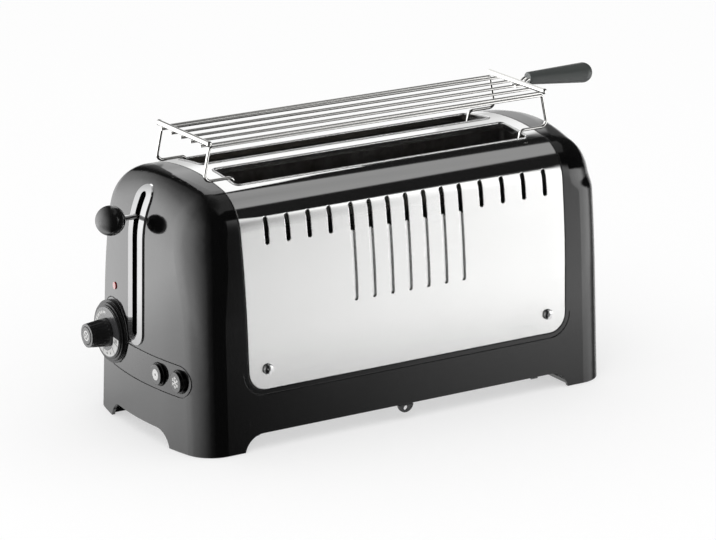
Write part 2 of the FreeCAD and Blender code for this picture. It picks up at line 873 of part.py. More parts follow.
# Base plate and crumb tray
def base_plate():
    plate = body(base_plate_inset).common(box(-far, far, -far, far, base_plate_bottom, base_top))
    holes = [rod((x, y, 0), (x, y, base_top + 1), base_screw_radius)
             for x, y in base_screw_places() + chassis_screw_places()]
    opening = box(tray_centre_x - crumb_opening_length / 2, tray_centre_x + crumb_opening_length / 2,
                  -crumb_opening_width / 2, crumb_opening_width / 2, 0, base_top + 1)
    rods = [rod((x, 0, 0), (x, 0, base_top + 1), guide_rod_radius) for x in (control_rod_x, far_rod_x)]
    return plate.cut([opening] + holes + rods)


def crumb_tray():
    x0, x1 = tray_centre_x - tray_length / 2, tray_centre_x + tray_length / 2
    y0, y1 = tray_front_y, tray_front_y + tray_depth
    z0 = tray_floor_bottom
    outside = box(x0, x1, y0, y1, z0, z0 + tray_wall_height)
    inside = box(x0 + tray_sheet, x1 - tray_sheet, y0 + tray_sheet, y1 - tray_sheet, z0 + tray_sheet, z0 + 20)
    return outside.cut(inside)


def tray_pull_tab():
    """Strip that runs out under the skirt and turns down into a round eye."""
    top = tray_floor_bottom + tray_wall_height
    y0, y1 = pull_tab_y, pull_tab_y + pull_tab_thickness
    centre_z = top + pull_tab_centre_rise
    disc = rod((tray_centre_x, y0, centre_z), (tray_centre_x, y1, centre_z), pull_tab_radius)
    disc = disc.common(box(-far, far, -far, far, 0, top))
    half = pull_strip_width / 2
    strip = box(tray_centre_x - half, tray_centre_x + half, y1 - 0.5, tray_front_y, top - tray_sheet, top)
    hole_z = top - pull_tab_hole_drop
    return join([disc, strip]).cut(rod((tray_centre_x, y0 - 1, hole_z), (tray_centre_x, y1 + 1, hole_z),
                                       pull_tab_hole_radius))


def tray_runners():
    """Folded rails under the base plate that carry the tray's two short edges."""
    rails = []
    y0, y1 = tray_front_y - 4, tray_front_y + tray_depth + 2
    flange_top = tray_floor_bottom - tray_play
    for side in (-1, 1):
        edge = tray_centre_x + side * (tray_length / 2 + tray_play)
        web = sorted((edge, edge + side * runner_sheet))
        shelf = sorted((edge + side * runner_sheet, edge - side * runner_flange))
        rails.append(join([
            box(web[0], web[1], y0, y1, flange_top - runner_sheet, base_plate_bottom),
            box(shelf[0], shelf[1], y0, y1, flange_top - runner_sheet, flange_top),
            box(shelf[0], shelf[1], y0, y1, base_plate_bottom - runner_sheet, base_plate_bottom)]))
    return group(rails)


# Chassis
def side_plate(x, outward):
    """Upright chassis plate with a foot flange; outward is the side that the flange points to."""
    zone = body(chassis_inset)
    plate = zone.common(box(x, x + sheet, -far, far, base_top, top_plate_height))
    start = x if outward < 0 else x + sheet
    f0, f1 = sorted((start, start + outward * plate_flange))
    flange_end = chassis_screw_y + flange_end_margin
    flange = box(f0, f1, -flange_end, flange_end, base_top, base_top + sheet)
    cutters = []
    reach = (x - 2, x + sheet + 2)
    for side in (-1, 1):
        y = side * slot_centre_y
        half = tongue_width / 2 + 1
        cutters.append(box(reach[0], reach[1], y - half, y + half, base_top + sheet,
                           lift_top + lever_lift + 1))
        for guard_y, inward in ((inner_guard_y, 1), (outer_guard_y, -1)):
            rail_y = guard_rail_y(guard_y, inward)
            play = guard_wire_radius + 0.3
            low, high = sorted((rail_y - inward * (guard_relief + play), rail_y + inward * (guard_travel + play)))
            y0, y1 = sorted((side * low, side * high))
            for z in (guard_rail_low, guard_rail_high):
                cutters.append(box(reach[0], reach[1], y0, y1, z - play, z + play))
    cutters += [rod((sx, sy, 0), (sx, sy, base_top + 5), base_screw_radius) for sx, sy in chassis_screw_places()]
    cutters.append(rod((x - 2, wire_hole_y, wire_hole_z), (x + sheet + 2, wire_hole_y, wire_hole_z),
                       wire_hole_radius))
    return join([plate, flange]).cut(cutters)


def top_plate():
    """Chassis lid with a drawn-up collar round each bread slot, on which the slot's rim sits."""
    y = reflector_y + reflector_flange
    plate = box(control_plate_x, far_plate_x + sheet, -y, y, top_plate_height, top_plate_height + sheet)
    plate = plate.common(side_prism(cover_thickness + plate_room))
    collar = slot_cutter(0.0, top_plate_height, far).common(side_prism(rim_depth))
    opening = slot_cutter(sheet, 0, far)
    return join([plate] + both_sides(collar)).cut(both_sides(opening))


def reflectors():
    """Bright sheets behind the outer elements, folded out at top and bottom."""
    y0 = -reflector_y - reflector_sheet
    x0, x1 = control_plate_x + sheet, far_plate_x
    sheet_part = box(x0, x1, y0, -reflector_y, base_top, reflector_top)
    foot = box(x0, x1, y0 - reflector_flange, y0, base_top + 3, base_top + 3 + reflector_sheet)
    lip = box(x0, x1, y0 - reflector_flange, y0, reflector_top - reflector_sheet, reflector_top)
    panel = join([sheet_part, foot, lip]).common(side_prism(cover_thickness + plate_room))
    return group(both_sides(panel))


# Heating
def element_board(y_face):
    """Mica card of the front slot whose inner face, towards the aisle, is at y_face."""
    return box(control_plate_x + sheet, far_plate_x, -y_face - mica_sheet, -y_face, board_bottom, board_top)


def element_ribbon(y_surface, towards):
    """Flat ribbon that runs to and fro over a card; towards is +1 or -1 along Y."""
    x0 = control_plate_x + sheet + ribbon_end_margin
    x1 = far_plate_x - ribbon_end_margin
    y0, y1 = sorted((y_surface, y_surface + towards * ribbon_thickness))
    first = board_bottom + ribbon_row_margin
    pitch = (board_top - board_bottom - 2 * ribbon_row_margin - ribbon_width) / (ribbon_rows - 1)
    runs = []
    for i in range(ribbon_rows):
        z = first + i * pitch
        runs.append(box(x0, x1, y0, y1, z, z + ribbon_width))
        if i < ribbon_rows - 1:
            link = (x1 - ribbon_width, x1) if i % 2 == 0 else (x0, x0 + ribbon_width)
            runs.append(box(link[0], link[1], y0, y1, z, z + pitch + ribbon_width))
    return join(runs)


# Bread guards
def guard_rail_y(guard_y, inward):
    """Distance of a guard's long rails from the middle, behind its upright wires."""
    return guard_y - inward * (2 * guard_wire_radius - weld_overlap)


def bread_guard(guard_y, inward, side):
    """Wire grid beside a bread slot; inward is +1 for the inner grid and -1 for the outer one."""
    x0, x1 = control_plate_x + sheet + guard_end_margin, far_plate_x - guard_end_margin
    y = side * guard_y
    rail_y = side * guard_rail_y(guard_y, inward)
    wires = []
    for i in range(guard_wire_count):
        x = x0 + i * (x1 - x0) / (guard_wire_count - 1)
        wires.append(rod((x, y, guard_bottom), (x, y, guard_top), guard_wire_radius))
    for z in (guard_rail_low, guard_rail_high):
        wires.append(rod((control_plate_x - 3, rail_y, z), (far_plate_x + sheet + 3, rail_y, z),
                         guard_wire_radius))
    return join(wires)


# Carriage and bread lifts
def bread_lift(side):
    y = side * slot_centre_y
    x0, x1 = control_plate_x + sheet + 2, far_plate_x - 2
    strip = box(x0, x1, y - lift_width / 2, y + lift_width / 2, lift_top - lift_sheet, lift_top)
    web = box(x0, x1, y - sheet / 2, y + sheet / 2, lift_top - lift_sheet - lift_web, lift_top - lift_sheet)
    tongue = box(control_slider_x + sheet, far_slider_x, y - tongue_width / 2, y + tongue_width / 2,
                 carriage_bottom, lift_top - lift_sheet)
    tongue = tongue.cut(box(x0 + 20, x1 - 20, -far, far, 0, far))
    ribs = []
    for i in range(lift_rib_count):
        x = x0 + 15 + i * (x1 - x0 - 30) / (lift_rib_count - 1)
        ribs.append(box(x - lift_rib_width / 2, x + lift_rib_width / 2, y - lift_width / 2, y + lift_width / 2,
                        lift_top - 0.2, lift_top + lift_rib_height))
    return join([strip, web, tongue] + ribs)


def slider_ears(plate_x, rod_x, outward):
    """Two level ears that carry the bush on its rod."""
    tip = rod_x + outward * ear_end_clearance
    x0, x1 = sorted((plate_x, tip))
    ears = []
    for z in (carriage_bottom, carriage_bottom + carriage_height - sheet):
        ears.append(box(x0, x1, -ear_half_width, ear_half_width, z, z + sheet))
    return ears


def bush_hole(rod_x):
    return rod((rod_x, 0, carriage_bottom - 5), (rod_x, 0, carriage_bottom + carriage_height + 5), bush_radius)


def carriage_bracket():
    top = carriage_bottom + carriage_height
    plate = box(control_slider_x, control_slider_x + sheet, -carriage_half_width, carriage_half_width,
                carriage_bottom, top)
    ears = slider_ears(control_slider_x, control_rod_x, -1)
    spring_ear = box(control_rod_x - 6, control_slider_x, -spring_ear_reach, 0, top - sheet, top)
    arm = box(armature_outer_x, control_slider_x, armature_y, armature_y + armature_width,
              armature_height, armature_height + sheet)
    contact_arm = mirrored_y(arm)
    return join([plate, spring_ear, arm, contact_arm] + ears).cut(bush_hole(control_rod_x))


def far_slider():
    plate = box(far_slider_x, far_slider_x + sheet, -carriage_half_width, carriage_half_width,
                carriage_bottom, carriage_bottom + carriage_height)
    return join([plate] + slider_ears(far_slider_x + sheet, far_rod_x, 1)).cut(bush_hole(far_rod_x))


def slider_bushes():
    bushes = []
    for x in (control_rod_x, far_rod_x):
        outside = rod((x, 0, carriage_bottom), (x, 0, carriage_bottom + carriage_height), bush_radius)
        bore = rod((x, 0, carriage_bottom - 1), (x, 0, carriage_bottom + carriage_height + 1),
                   guide_rod_radius + rod_clearance)
        bushes.append(outside.cut(bore))
    return group(bushes)


def guide_rods():
    return group([rod((x, 0, base_plate_bottom), (x, 0, rod_bracket_height + sheet), guide_rod_radius)
                  for x in (control_rod_x, far_rod_x)])


def rod_brackets():
    """Angle pieces that hold the tops of the guide rods off the side plates."""
    pieces = []
    for rod_x, plate_x, outward in ((control_rod_x, control_plate_x, -1), (far_rod_x, far_plate_x + sheet, 1)):
        x0, x1 = sorted((plate_x, rod_x + outward * 6))
        shelf = box(x0, x1, -spring_ear_reach, spring_ear_reach, rod_bracket_height, rod_bracket_height + sheet)
        w0, w1 = sorted((plate_x, plate_x + outward * sheet))
        web = box(w0, w1, -spring_ear_reach, spring_ear_reach, rod_bracket_height - 8, rod_bracket_height)
        hole = rod((rod_x, 0, rod_bracket_height - 5), (rod_x, 0, rod_bracket_height + 5), guide_rod_radius)
        pieces.append(join([shelf, web]).cut(hole))
    return group(pieces)


def lever_plate():
    return box(lever_plate_outer_x, lever_plate_inner_x, -lever_plate_thickness / 2, lever_plate_thickness / 2,
               carriage_bottom, lever_height + 6)


def lever_rod():
    end_x = lever_ball_x + lever_ball_radius - lever_rod_depth_in_ball
    return rod((lever_plate_outer_x, 0, lever_height), (end_x, 0, lever_height), lever_rod_radius)


def lever_knob():
    ball = Part.makeSphere(lever_ball_radius, V(lever_ball_x, 0, lever_height))
    neck_x = lever_ball_x + lever_ball_radius - 0.6
    ball = ball.cut(box(neck_x, far, -far, far, 0, far))
    end_x = lever_ball_x + lever_ball_radius - lever_rod_depth_in_ball
    return ball.cut(rod((end_x, 0, lever_height), (0, 0, lever_height), lever_rod_radius))


def armature_plate():
    return box(armature_outer_x + 1, control_slider_x - 14, armature_y + 1, armature_y + armature_width - 1,
               armature_height - armature_thickness, armature_height)


def return_spring():
    """Open coil between the carriage ear and the rod bracket."""
    low = carriage_bottom + carriage_height + spring_wire_radius + 0.1
    high = rod_bracket_height - spring_wire_radius - 0.1
    pitch = (high - low) / spring_turns
    helix = Part.makeHelix(pitch, high - low, spring_radius)
    ring = Part.Wire(Part.makeCircle(spring_wire_radius, V(spring_radius, 0, 0), V(0, 1, pitch / 2 / math.pi
                                                                                 / spring_radius)))
    coil = Part.Wire(helix).makePipeShell([ring], True, True)
    coil.translate(V(control_rod_x, spring_y, low))
    return coil


# Magnet and switch
def magnet_centre():
    x = (armature_outer_x + 1 + control_slider_x - 14) / 2
    return x, armature_y + armature_width / 2


def magnet_core():
    x, y = magnet_centre()
    half_x, half_y = magnet_core_length / 2, magnet_core_width / 2
    core = box(x - half_x, x + half_x, y - half_y, y + half_y, base_top + sheet, core_top)
    foot = box(x - half_x - 3, x + half_x + 3, y - half_y - 2, y + half_y + 2, base_top, base_top + sheet)
    return join([core, foot])


def magnet_coil():
    x, y = magnet_centre()
    half_x, half_y = magnet_core_length / 2, magnet_core_width / 2
    wire = rounded_rectangle(2 * (half_x + coil_wall), 2 * (half_y + coil_wall), 2.0)
    coil = plate_along(wire, "z", coil_bottom, coil_top)
    coil.translate(V(x, y, 0))
    return coil.cut(box(x - half_x, x + half_x, y - half_y, y + half_y, 0, far))


def main_switch_block():
    x, y = magnet_centre()
    block = box(x - 7, x + 7, -y - 8, -y + 8, base_top, switch_block_top)
    return block.cut(box(x - 4, x + 4, -y - 9, -y + 9, switch_block_top - switch_notch_depth, far))


def switch_contacts():
    """Two sprung brass leaves just under the carriage's contact arm at the bottom of its travel."""
    x, y = magnet_centre()
    low, high = switch_block_top, contact_top
    t = contact_leaf_thickness
    leaves = []
    for cx in (x - 5.5, x + 5.5):
        leaves.append(join([box(cx - 1.5, cx + 1.5, -y - 8, -y + 8, low, low + t),
                            box(cx - 1.5, cx + 1.5, -y - 8, -y - 8 + t, low, high),
                            box(cx - 1.5, cx + 1.5, -y - 8, -y + 5, high - t, high)]))
    return group(leaves)


# Control board
def control_board():
    board = box(board_face_x, board_face_x + board_thickness, -board_half_width, board_half_width,
                control_board_bottom, control_board_top)
    return board


def board_posts():
    """Moulded posts that hold the control board off the base plate."""
    posts = []
    for y in (-56.0, 56.0):
        post = box(board_face_x - 2, board_face_x + board_thickness + 2, y - 4, y + 4, base_top,
                   control_board_bottom + 6)
        posts.append(post.cut(box(board_face_x, board_face_x + board_thickness, y - 5, y + 5,
                                  control_board_bottom, far)))
    return group(posts)


def tact_switches():
    half = tact_size / 2
    return group([box(board_face_x - tact_height, board_face_x, y - half, y + half,
                      button_z - half, button_z + half)
                  for y in (bagel_button_y, defrost_button_y)])


def potentiometer_body():
    half = pot_size / 2
    case = box(board_face_x - pot_depth, board_face_x, dial_y - half, dial_y + half,
               dial_z - half, dial_z + half)
    bore = rod((board_face_x - pot_depth - 1, dial_y, dial_z), (board_face_x - 3, dial_y, dial_z),
               pot_shaft_radius + rod_clearance)
    return case.cut(bore)


def potentiometer_shaft():
    tip = knob_face_x + knob_lip + cancel_cap_thickness + 2
    outside = rod((board_face_x - 3.4, dial_y, dial_z), (tip, dial_y, dial_z), pot_shaft_radius)
    return outside.cut(rod((board_face_x - 4, dial_y, dial_z), (tip - 1, dial_y, dial_z), pot_shaft_bore))


# Control end trims
def lever_slot_bezel():
    x0, x1 = -far, -half_length + 60
    ring = stadium_yz(bezel_width, bezel_bottom, bezel_top, x0, x1)
    ring = ring.cut(stadium_yz(lever_slot_width, lever_slot_bottom, lever_slot_top, x0, x1))
    return ring.common(body(-bezel_proud)).cut(body(bezel_seat))


def indicator_lens():
    face = -half_length + 5.2
    lens = rod((face - lens_proud - 1, lens_y, lens_z), (face + 8, lens_y, lens_z), lens_radius)
    return lens.common(body(-lens_proud))


def dial_bezel():
    steps = [rod((dial_steps[0] + 12, dial_y, dial_z), (dial_steps[0], dial_y, dial_z), dial_radii[0]),
             rod((dial_steps[0], dial_y, dial_z), (dial_steps[1], dial_y, dial_z), dial_radii[1]),
             rod((dial_steps[1], dial_y, dial_z), (dial_steps[2], dial_y, dial_z), dial_radii[2])]
    recess = rod((scale_ring_face_x + scale_ring_thickness, dial_y, dial_z),
                 (scale_ring_face_x - 3, dial_y, dial_z), scale_ring_radius)
    bore = rod((scale_ring_face_x - 3, dial_y, dial_z), (dial_steps[0] + 14, dial_y, dial_z),
               pot_shaft_radius + 1)
    return join(steps).cut([recess, bore, body(0.0)])


def scale_ring():
    disc = rod((scale_ring_face_x + scale_ring_thickness, dial_y, dial_z),
               (scale_ring_face_x, dial_y, dial_z), scale_ring_radius)
    return disc.cut(rod((scale_ring_face_x - 5, dial_y, dial_z), (scale_ring_face_x + 5, dial_y, dial_z),
                        scale_ring_bore))


def browning_knob():
    base_x = scale_ring_face_x - knob_gap
    skirt = 3.0
    cone = Part.makeCone(knob_base_radius, knob_face_radius, base_x - knob_face_x,
                         V(base_x, dial_y, dial_z), V(-1, 0, 0))
    flutes = []
    for i in range(knob_flute_count):
        a = math.radians(i * 360 / knob_flute_count)
        y, z = math.cos(a), math.sin(a)
        flutes.append(rod((base_x - skirt, dial_y + y * (knob_base_radius + 0.1), dial_z + z
                           * (knob_base_radius + 0.1)),
                          (knob_face_x + knob_lip, dial_y + y * (knob_face_radius + 0.3),
                           dial_z + z * (knob_face_radius + 0.3)), knob_flute_radius))
    well = rod((knob_face_x - 1, dial_y, dial_z),
               (knob_face_x + cancel_cap_thickness + cancel_travel, dial_y, dial_z), cancel_radius + cancel_gap)
    tip = knob_face_x + knob_lip + cancel_cap_thickness + 2
    bore = rod((tip, dial_y, dial_z), (base_x + 1, dial_y, dial_z), pot_shaft_radius)
    stem_hole = rod((knob_face_x, dial_y, dial_z), (base_x, dial_y, dial_z), cancel_stem_radius + 0.35)
    hollow = rod((base_x - 6, dial_y, dial_z), (base_x + 1, dial_y, dial_z), knob_face_radius - 2.4)
    sleeve = rod((base_x - 6, dial_y, dial_z), (base_x, dial_y, dial_z), pot_shaft_radius + 1.6)
    solid = cone.cut(flutes + [well, hollow])
    return join([solid, sleeve]).cut([bore, stem_hole])


def cancel_button():
    face = knob_face_x - cancel_proud
    cap = rod((face, dial_y, dial_z), (face + cancel_cap_thickness, dial_y, dial_z), cancel_radius)
    edge = [e for e in cap.Edges if abs(e.CenterOfMass.x - face) < 0.01 and e.BoundBox.XLength < 0.01]
    cap = cap.makeFillet(0.6, [edge[0]])
    stem = rod((face + 1, dial_y, dial_z), (face + cancel_stem_length, dial_y, dial_z), cancel_stem_radius)
    return join([cap, stem])


def function_button(y, face_x):
    """Round push button on a wider collar, with a stem that stops just short of its switch."""
    stem_end = board_face_x - tact_height - button_travel - 0.3
    cap_end = stem_end - 1.0
    cap = rod((face_x, y, button_z), (face_x + button_cap_height + 1, y, button_z), button_radius)
    edge = [e for e in cap.Edges if abs(e.CenterOfMass.x - face_x) < 0.01 and e.BoundBox.XLength < 0.01]
    cap = cap.makeFillet(0.7, [edge[0]])
    collar = rod((face_x + button_cap_height, y, button_z), (cap_end, y, button_z), button_collar_radius)
    return join([cap, collar, rod((cap_end - 1, y, button_z), (stem_end, y, button_z), button_stem_radius)])


# Cord inlet
def cord_gland():
    flange = rod((gland_x, surface_y(gland_z) - 3, gland_z), (gland_x, gland_outer_y, gland_z),
                 gland_flange_radius).cut(body(0.0))
    neck = rod((gland_x, gland_inner_y, gland_z), (gland_x, gland_outer_y, gland_z), gland_body_radius)
    bore = rod((gland_x, gland_inner_y - 1, gland_z), (gland_x, gland_outer_y + 1, gland_z), gland_bore_radius)
    return join([flange, neck]).cut(bore)


def terminal_block():
    x0, y0 = terminal_inset_x - half_length, terminal_y
    top = base_top + terminal_height
    block = box(x0, x0 + terminal_length, y0, y0 + terminal_width, base_top, top)
    pitch = terminal_length / 3
    middle_y = y0 + terminal_width / 2
    holes = [rod((x0 + (i + 0.5) * pitch, middle_y, top - terminal_hole_depth),
                 (x0 + (i + 0.5) * pitch, middle_y, top + 1), terminal_hole_radius) for i in range(3)]
    return block.cut(holes)


# Warming rack
def rack_cross_bars():
    bars = []
    for side in (-1, 1):
        x = rack_centre_x + side * rack_bar_spacing / 2
        bars.append(rod((x, -rack_bar_half_length, rack_height), (x, rack_bar_half_length, rack_height),
                        rack_bar_radius))
    return group(bars)


def rack_end_caps():
    """Domed caps on the ends of the cross bars."""
    caps = []
    for side in (-1, 1):
        x = rack_centre_x + side * rack_bar_spacing / 2
        y = rack_bar_half_length
        cap = rod((x, y, rack_height), (x, y + cap_length, rack_height), cap_radius)
        rim = [e for e in cap.Edges if abs(e.CenterOfMass.y - y - cap_length) < 0.01]
        caps += both_sides(cap.makeFillet(cap_length * 0.8, [rim[0]]))
    return group(caps)


def rack_wire_height():
    return rack_height - rack_bar_radius - rack_wire_radius + weld_overlap


def rack_wires():
    half = rack_bar_spacing / 2 + rack_wire_overhang
    z = rack_wire_height()
    middle = (rack_wire_count - 1) / 2
    return group([rod((rack_centre_x - half, (i - middle) * rack_wire_pitch, z),
                      (rack_centre_x + half, (i - middle) * rack_wire_pitch, z), rack_wire_radius)
                  for i in range(rack_wire_count)])


def rack_leg_frames():
    """One wire a side: hook, foot, leg, long run and back down to the other hook."""
    z = rack_height - rack_bar_radius - rack_leg_radius + weld_overlap
    y = -rack_leg_y
    bar, foot, hook = rack_leg_top_spread / 2, rack_foot_spread / 2, rack_hook_spacing / 2
    c = rack_centre_x
    half = [(-hook, rack_hook_bottom), (-hook - rack_hook_lean, rack_foot_height),
            (-foot, rack_foot_height), (-bar, z)]
    points = [(c + x, y, h) for x, h in half] + [(c - x, y, h) for x, h in reversed(half)]
    bends = [rack_hook_bend, rack_foot_bend, rack_top_bend]
    frame = bent_wire(points, bends + bends[::-1], rack_leg_radius)
    return group(both_sides(frame))


def grip_axis(distance, y=0.0):
    tilt = math.radians(grip_tilt)
    return grip_start_x + distance * math.cos(tilt), y, grip_start_z - distance * math.sin(tilt)


def rack_handle_stem():
    wires = []
    start = rack_centre_x + rack_bar_spacing / 2 - 4
    level = rack_wire_height() - stem_weld_relief
    for side in (-1, 1):
        y = side * stem_spacing / 2
        rise = (start, y, level)
        end = grip_axis(stem_depth_in_grip, y)
        knee = (rack_centre_x + rack_bar_spacing / 2 + 3, y, level)
        wires.append(bent_wire([rise, knee, grip_axis(-2, y), end], [4.0, 4.0], stem_radius))
    return group(wires)


def rack_handle_grip():
    """Tapered grip, fat and round at its free end."""
    nose = grip_fat_radius
    thin, length = grip_thin_radius, grip_length
    points = [V(0, 0, 0), V(thin - 1, 0, 0), V(thin, 0, 1), V(nose, 0, length - nose)]
    edges = [Part.LineSegment(points[0], points[1]).toShape(),
             Part.Arc(points[1], V(thin - 0.3, 0, 0.3), points[2]).toShape(),
             Part.LineSegment(points[2], points[3]).toShape(),
             Part.Arc(points[3], V(nose * math.sqrt(0.5), 0, length - nose + nose * math.sqrt(0.5)),
                      V(0, 0, length)).toShape(),
             Part.LineSegment(V(0, 0, length), points[0]).toShape()]
    grip = Part.Face(Part.Wire(edges)).revolve(V(0, 0, 0), V(0, 0, 1), 360)
    grip.rotate(V(0, 0, 0), V(0, 1, 0), 90 + grip_tilt)
    grip.translate(V(grip_start_x, 0, grip_start_z))
    holes = [rod(grip_axis(-1, side * stem_spacing / 2), grip_axis(stem_depth_in_grip, side * stem_spacing / 2),
                 stem_radius) for side in (-1, 1)]
    return grip.cut(holes)


parts = {
    "outer_casing": outer_casing(),
    "rubber_feet": rubber_feet(),
    "steel_cover": steel_cover(),
    "front_slot_rim": slot_rim(),
    "rear_slot_rim": mirrored_y(slot_rim()),
    "panel_screws": panel_screws(),
    "panel_brackets": panel_brackets(),
    "base_screws": base_screws(),
    "base_plate": base_plate(),
    "crumb_tray": crumb_tray(),
    "tray_pull_tab": tray_pull_tab(),
    "tray_runners": tray_runners(),
    "control_side_plate": side_plate(control_plate_x, -1),
    "far_side_plate": side_plate(far_plate_x, 1),
    "top_plate": top_plate(),
    "reflectors": reflectors(),
    "outer_element_boards": group(both_sides(element_board(outer_board_y))),
    "inner_element_boards": group(both_sides(element_board(inner_board_y))),
    "element_ribbons": group(both_sides(element_ribbon(-outer_board_y, 1))
                             + both_sides(element_ribbon(-inner_board_y - mica_sheet, -1))),
    "front_inner_guard": bread_guard(inner_guard_y, 1, -1),
    "front_outer_guard": bread_guard(outer_guard_y, -1, -1),
    "rear_inner_guard": bread_guard(inner_guard_y, 1, 1),
    "rear_outer_guard": bread_guard(outer_guard_y, -1, 1),
    "front_bread_lift": bread_lift(-1),
    "rear_bread_lift": bread_lift(1),
    "carriage_bracket": carriage_bracket(),
    "far_slider": far_slider(),
    "slider_bushes": slider_bushes(),
    "guide_rods": guide_rods(),
    "rod_brackets": rod_brackets(),
    "lever_plate": lever_plate(),
    "lever_rod": lever_rod(),
    "lever_knob": lever_knob(),
    "armature_plate": armature_plate(),
    "return_spring": return_spring(),
    "magnet_core": magnet_core(),
    "magnet_coil": magnet_coil(),
    "main_switch_block": main_switch_block(),
    "switch_contacts": switch_contacts(),
    "control_board": control_board(),
    "board_posts": board_posts(),
    "tact_switches": tact_switches(),
    "potentiometer_body": potentiometer_body(),
    "potentiometer_shaft": potentiometer_shaft(),
    "lever_slot_bezel": lever_slot_bezel(),
    "indicator_lens": indicator_lens(),
    "dial_bezel": dial_bezel(),
    "scale_ring": scale_ring(),
    "browning_knob": browning_knob(),
    "cancel_button": cancel_button(),
    "bagel_button": function_button(bagel_button_y, bagel_button_face_x),
    "defrost_button": function_button(defrost_button_y, defrost_button_face_x),
    "cord_gland": cord_gland(),
    "terminal_block": terminal_block(),
    "rack_cross_bars": rack_cross_bars(),
    "rack_end_caps": rack_end_caps(),
    "rack_wires": rack_wires(),
    "rack_leg_frames": rack_leg_frames(),
    "rack_handle_stem": rack_handle_stem(),
    "rack_handle_grip": rack_handle_grip(),
}

os.makedirs("parts", exist_ok=True)
for name, shape in parts.items():
    shape.exportStep("parts/" + name + ".step")
    box_of = shape.BoundBox
    print("%-22s solids %2d valid %s  x %7.1f %7.1f  y %6.1f %6.1f  z %6.1f %6.1f" % (
        name, len(shape.Solids), shape.isValid(), box_of.XMin, box_of.XMax, box_of.YMin, box_of.YMax,
        box_of.ZMin, box_of.ZMax))
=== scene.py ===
import math

import bmesh
import bpy
from mathutils import Matrix, Vector


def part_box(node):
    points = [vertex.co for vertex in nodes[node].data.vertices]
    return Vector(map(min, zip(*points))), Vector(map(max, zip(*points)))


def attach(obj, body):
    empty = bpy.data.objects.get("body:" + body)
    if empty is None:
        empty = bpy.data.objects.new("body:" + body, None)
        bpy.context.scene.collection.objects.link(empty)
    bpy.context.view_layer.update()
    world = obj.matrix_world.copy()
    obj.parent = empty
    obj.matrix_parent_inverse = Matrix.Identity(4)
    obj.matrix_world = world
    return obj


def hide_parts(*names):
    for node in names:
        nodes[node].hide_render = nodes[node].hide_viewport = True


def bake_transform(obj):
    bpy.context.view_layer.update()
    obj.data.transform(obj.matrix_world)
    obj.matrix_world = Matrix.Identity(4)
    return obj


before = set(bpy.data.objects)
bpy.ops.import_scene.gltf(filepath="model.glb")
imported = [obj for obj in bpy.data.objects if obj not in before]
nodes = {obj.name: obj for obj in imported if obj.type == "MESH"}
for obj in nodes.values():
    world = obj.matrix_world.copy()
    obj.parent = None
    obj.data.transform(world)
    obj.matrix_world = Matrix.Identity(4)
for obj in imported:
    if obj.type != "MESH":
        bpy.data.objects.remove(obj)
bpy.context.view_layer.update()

scene = bpy.context.scene
mm = 0.001
pureWhite = (1, 1, 1, 1)
print("frame loaded:", len(nodes), "nodes")


# camera at the photograph's viewpoint, from the front left and a little above
camera = {
    "azimuth": -32.08, "elevation": 17.13, "roll": 0.05,
    "distance": 3.155, "aim": (0.0, 0.0, 0.100),
    "sensor": 36, "lens": 181.66, "shift": (0.006844, 0.014693),
}


def placeCamera(spec):
    az, el, roll = (math.radians(spec[key]) for key in ("azimuth", "elevation", "roll"))
    back = Vector((math.sin(az) * math.cos(el), -math.cos(az) * math.cos(el), math.sin(el)))
    right = Vector((0, 0, 1)).cross(back).normalized()
    up = back.cross(right)
    levelRight = right * math.cos(roll) + up * math.sin(roll)
    levelUp = up * math.cos(roll) - right * math.sin(roll)
    data = bpy.data.cameras.new("camera")
    data.sensor_width = spec["sensor"]
    data.lens = spec["lens"]
    data.shift_x, data.shift_y = spec["shift"]
    obj = bpy.data.objects.new("camera", data)
    scene.collection.objects.link(obj)
    turn = Matrix((levelRight, levelUp, back)).transposed().to_4x4()
    obj.matrix_world = Matrix.Translation(Vector(spec["aim"]) + back * spec["distance"]) @ turn
    scene.camera = obj


placeCamera(camera)
scene.view_settings.view_transform = "Standard"
print("camera placed")


# node helpers; a value is a number, a colour, or the output of another node
def add(tree, kind, values=None, **settings):
    node = tree.nodes.new(kind)
    for key, value in settings.items():
        setattr(node, key, value)
    for key, value in (values or {}).items():
        if isinstance(value, bpy.types.NodeSocket):
            tree.links.new(value, node.inputs[key])
        else:
            node.inputs[key].default_value = value
    return node


def math1(tree, operation, *values, clamp=False):
    return add(tree, "ShaderNodeMath", dict(enumerate(values)), operation=operation,
               use_clamp=clamp).outputs[0]


def mapRange(tree, value, fromLow, fromHigh, toLow=0, toHigh=1):
    return add(tree, "ShaderNodeMapRange", {"Value": value, "From Min": fromLow, "From Max": fromHigh,
                                            "To Min": toLow, "To Max": toHigh}).outputs["Result"]


def ramp(tree, value, stops, top=1.0):
    # stops are (position, brightness); brightness is stored as a share of top
    node = add(tree, "ShaderNodeValToRGB", {0: value})
    line = node.color_ramp
    while len(line.elements) > 1:
        line.elements.remove(line.elements[-1])
    for place, (position, tone) in enumerate(stops):
        mark = line.elements[0] if place == 0 else line.elements.new(position)
        mark.position = position
        mark.color = (tone / top, tone / top, tone / top, 1)
    return math1(tree, "MULTIPLY", node.outputs[0], top)


def mixShaders(tree, share, first, second):
    return add(tree, "ShaderNodeMixShader", {0: share, 1: first, 2: second}).outputs[0]


def glowing(tree, tone):
    return add(tree, "ShaderNodeEmission", {"Color": pureWhite, "Strength": tone}).outputs[0]


def objectCoord(tree):
    return add(tree, "ShaderNodeTexCoord").outputs["Object"]


def splitCoord(tree, vector):
    return add(tree, "ShaderNodeSeparateXYZ", {0: vector}).outputs


def stretched(tree, vector, x, y, z):
    return add(tree, "ShaderNodeVectorMath", {0: vector, 1: (x, y, z)}, operation="MULTIPLY").outputs[0]


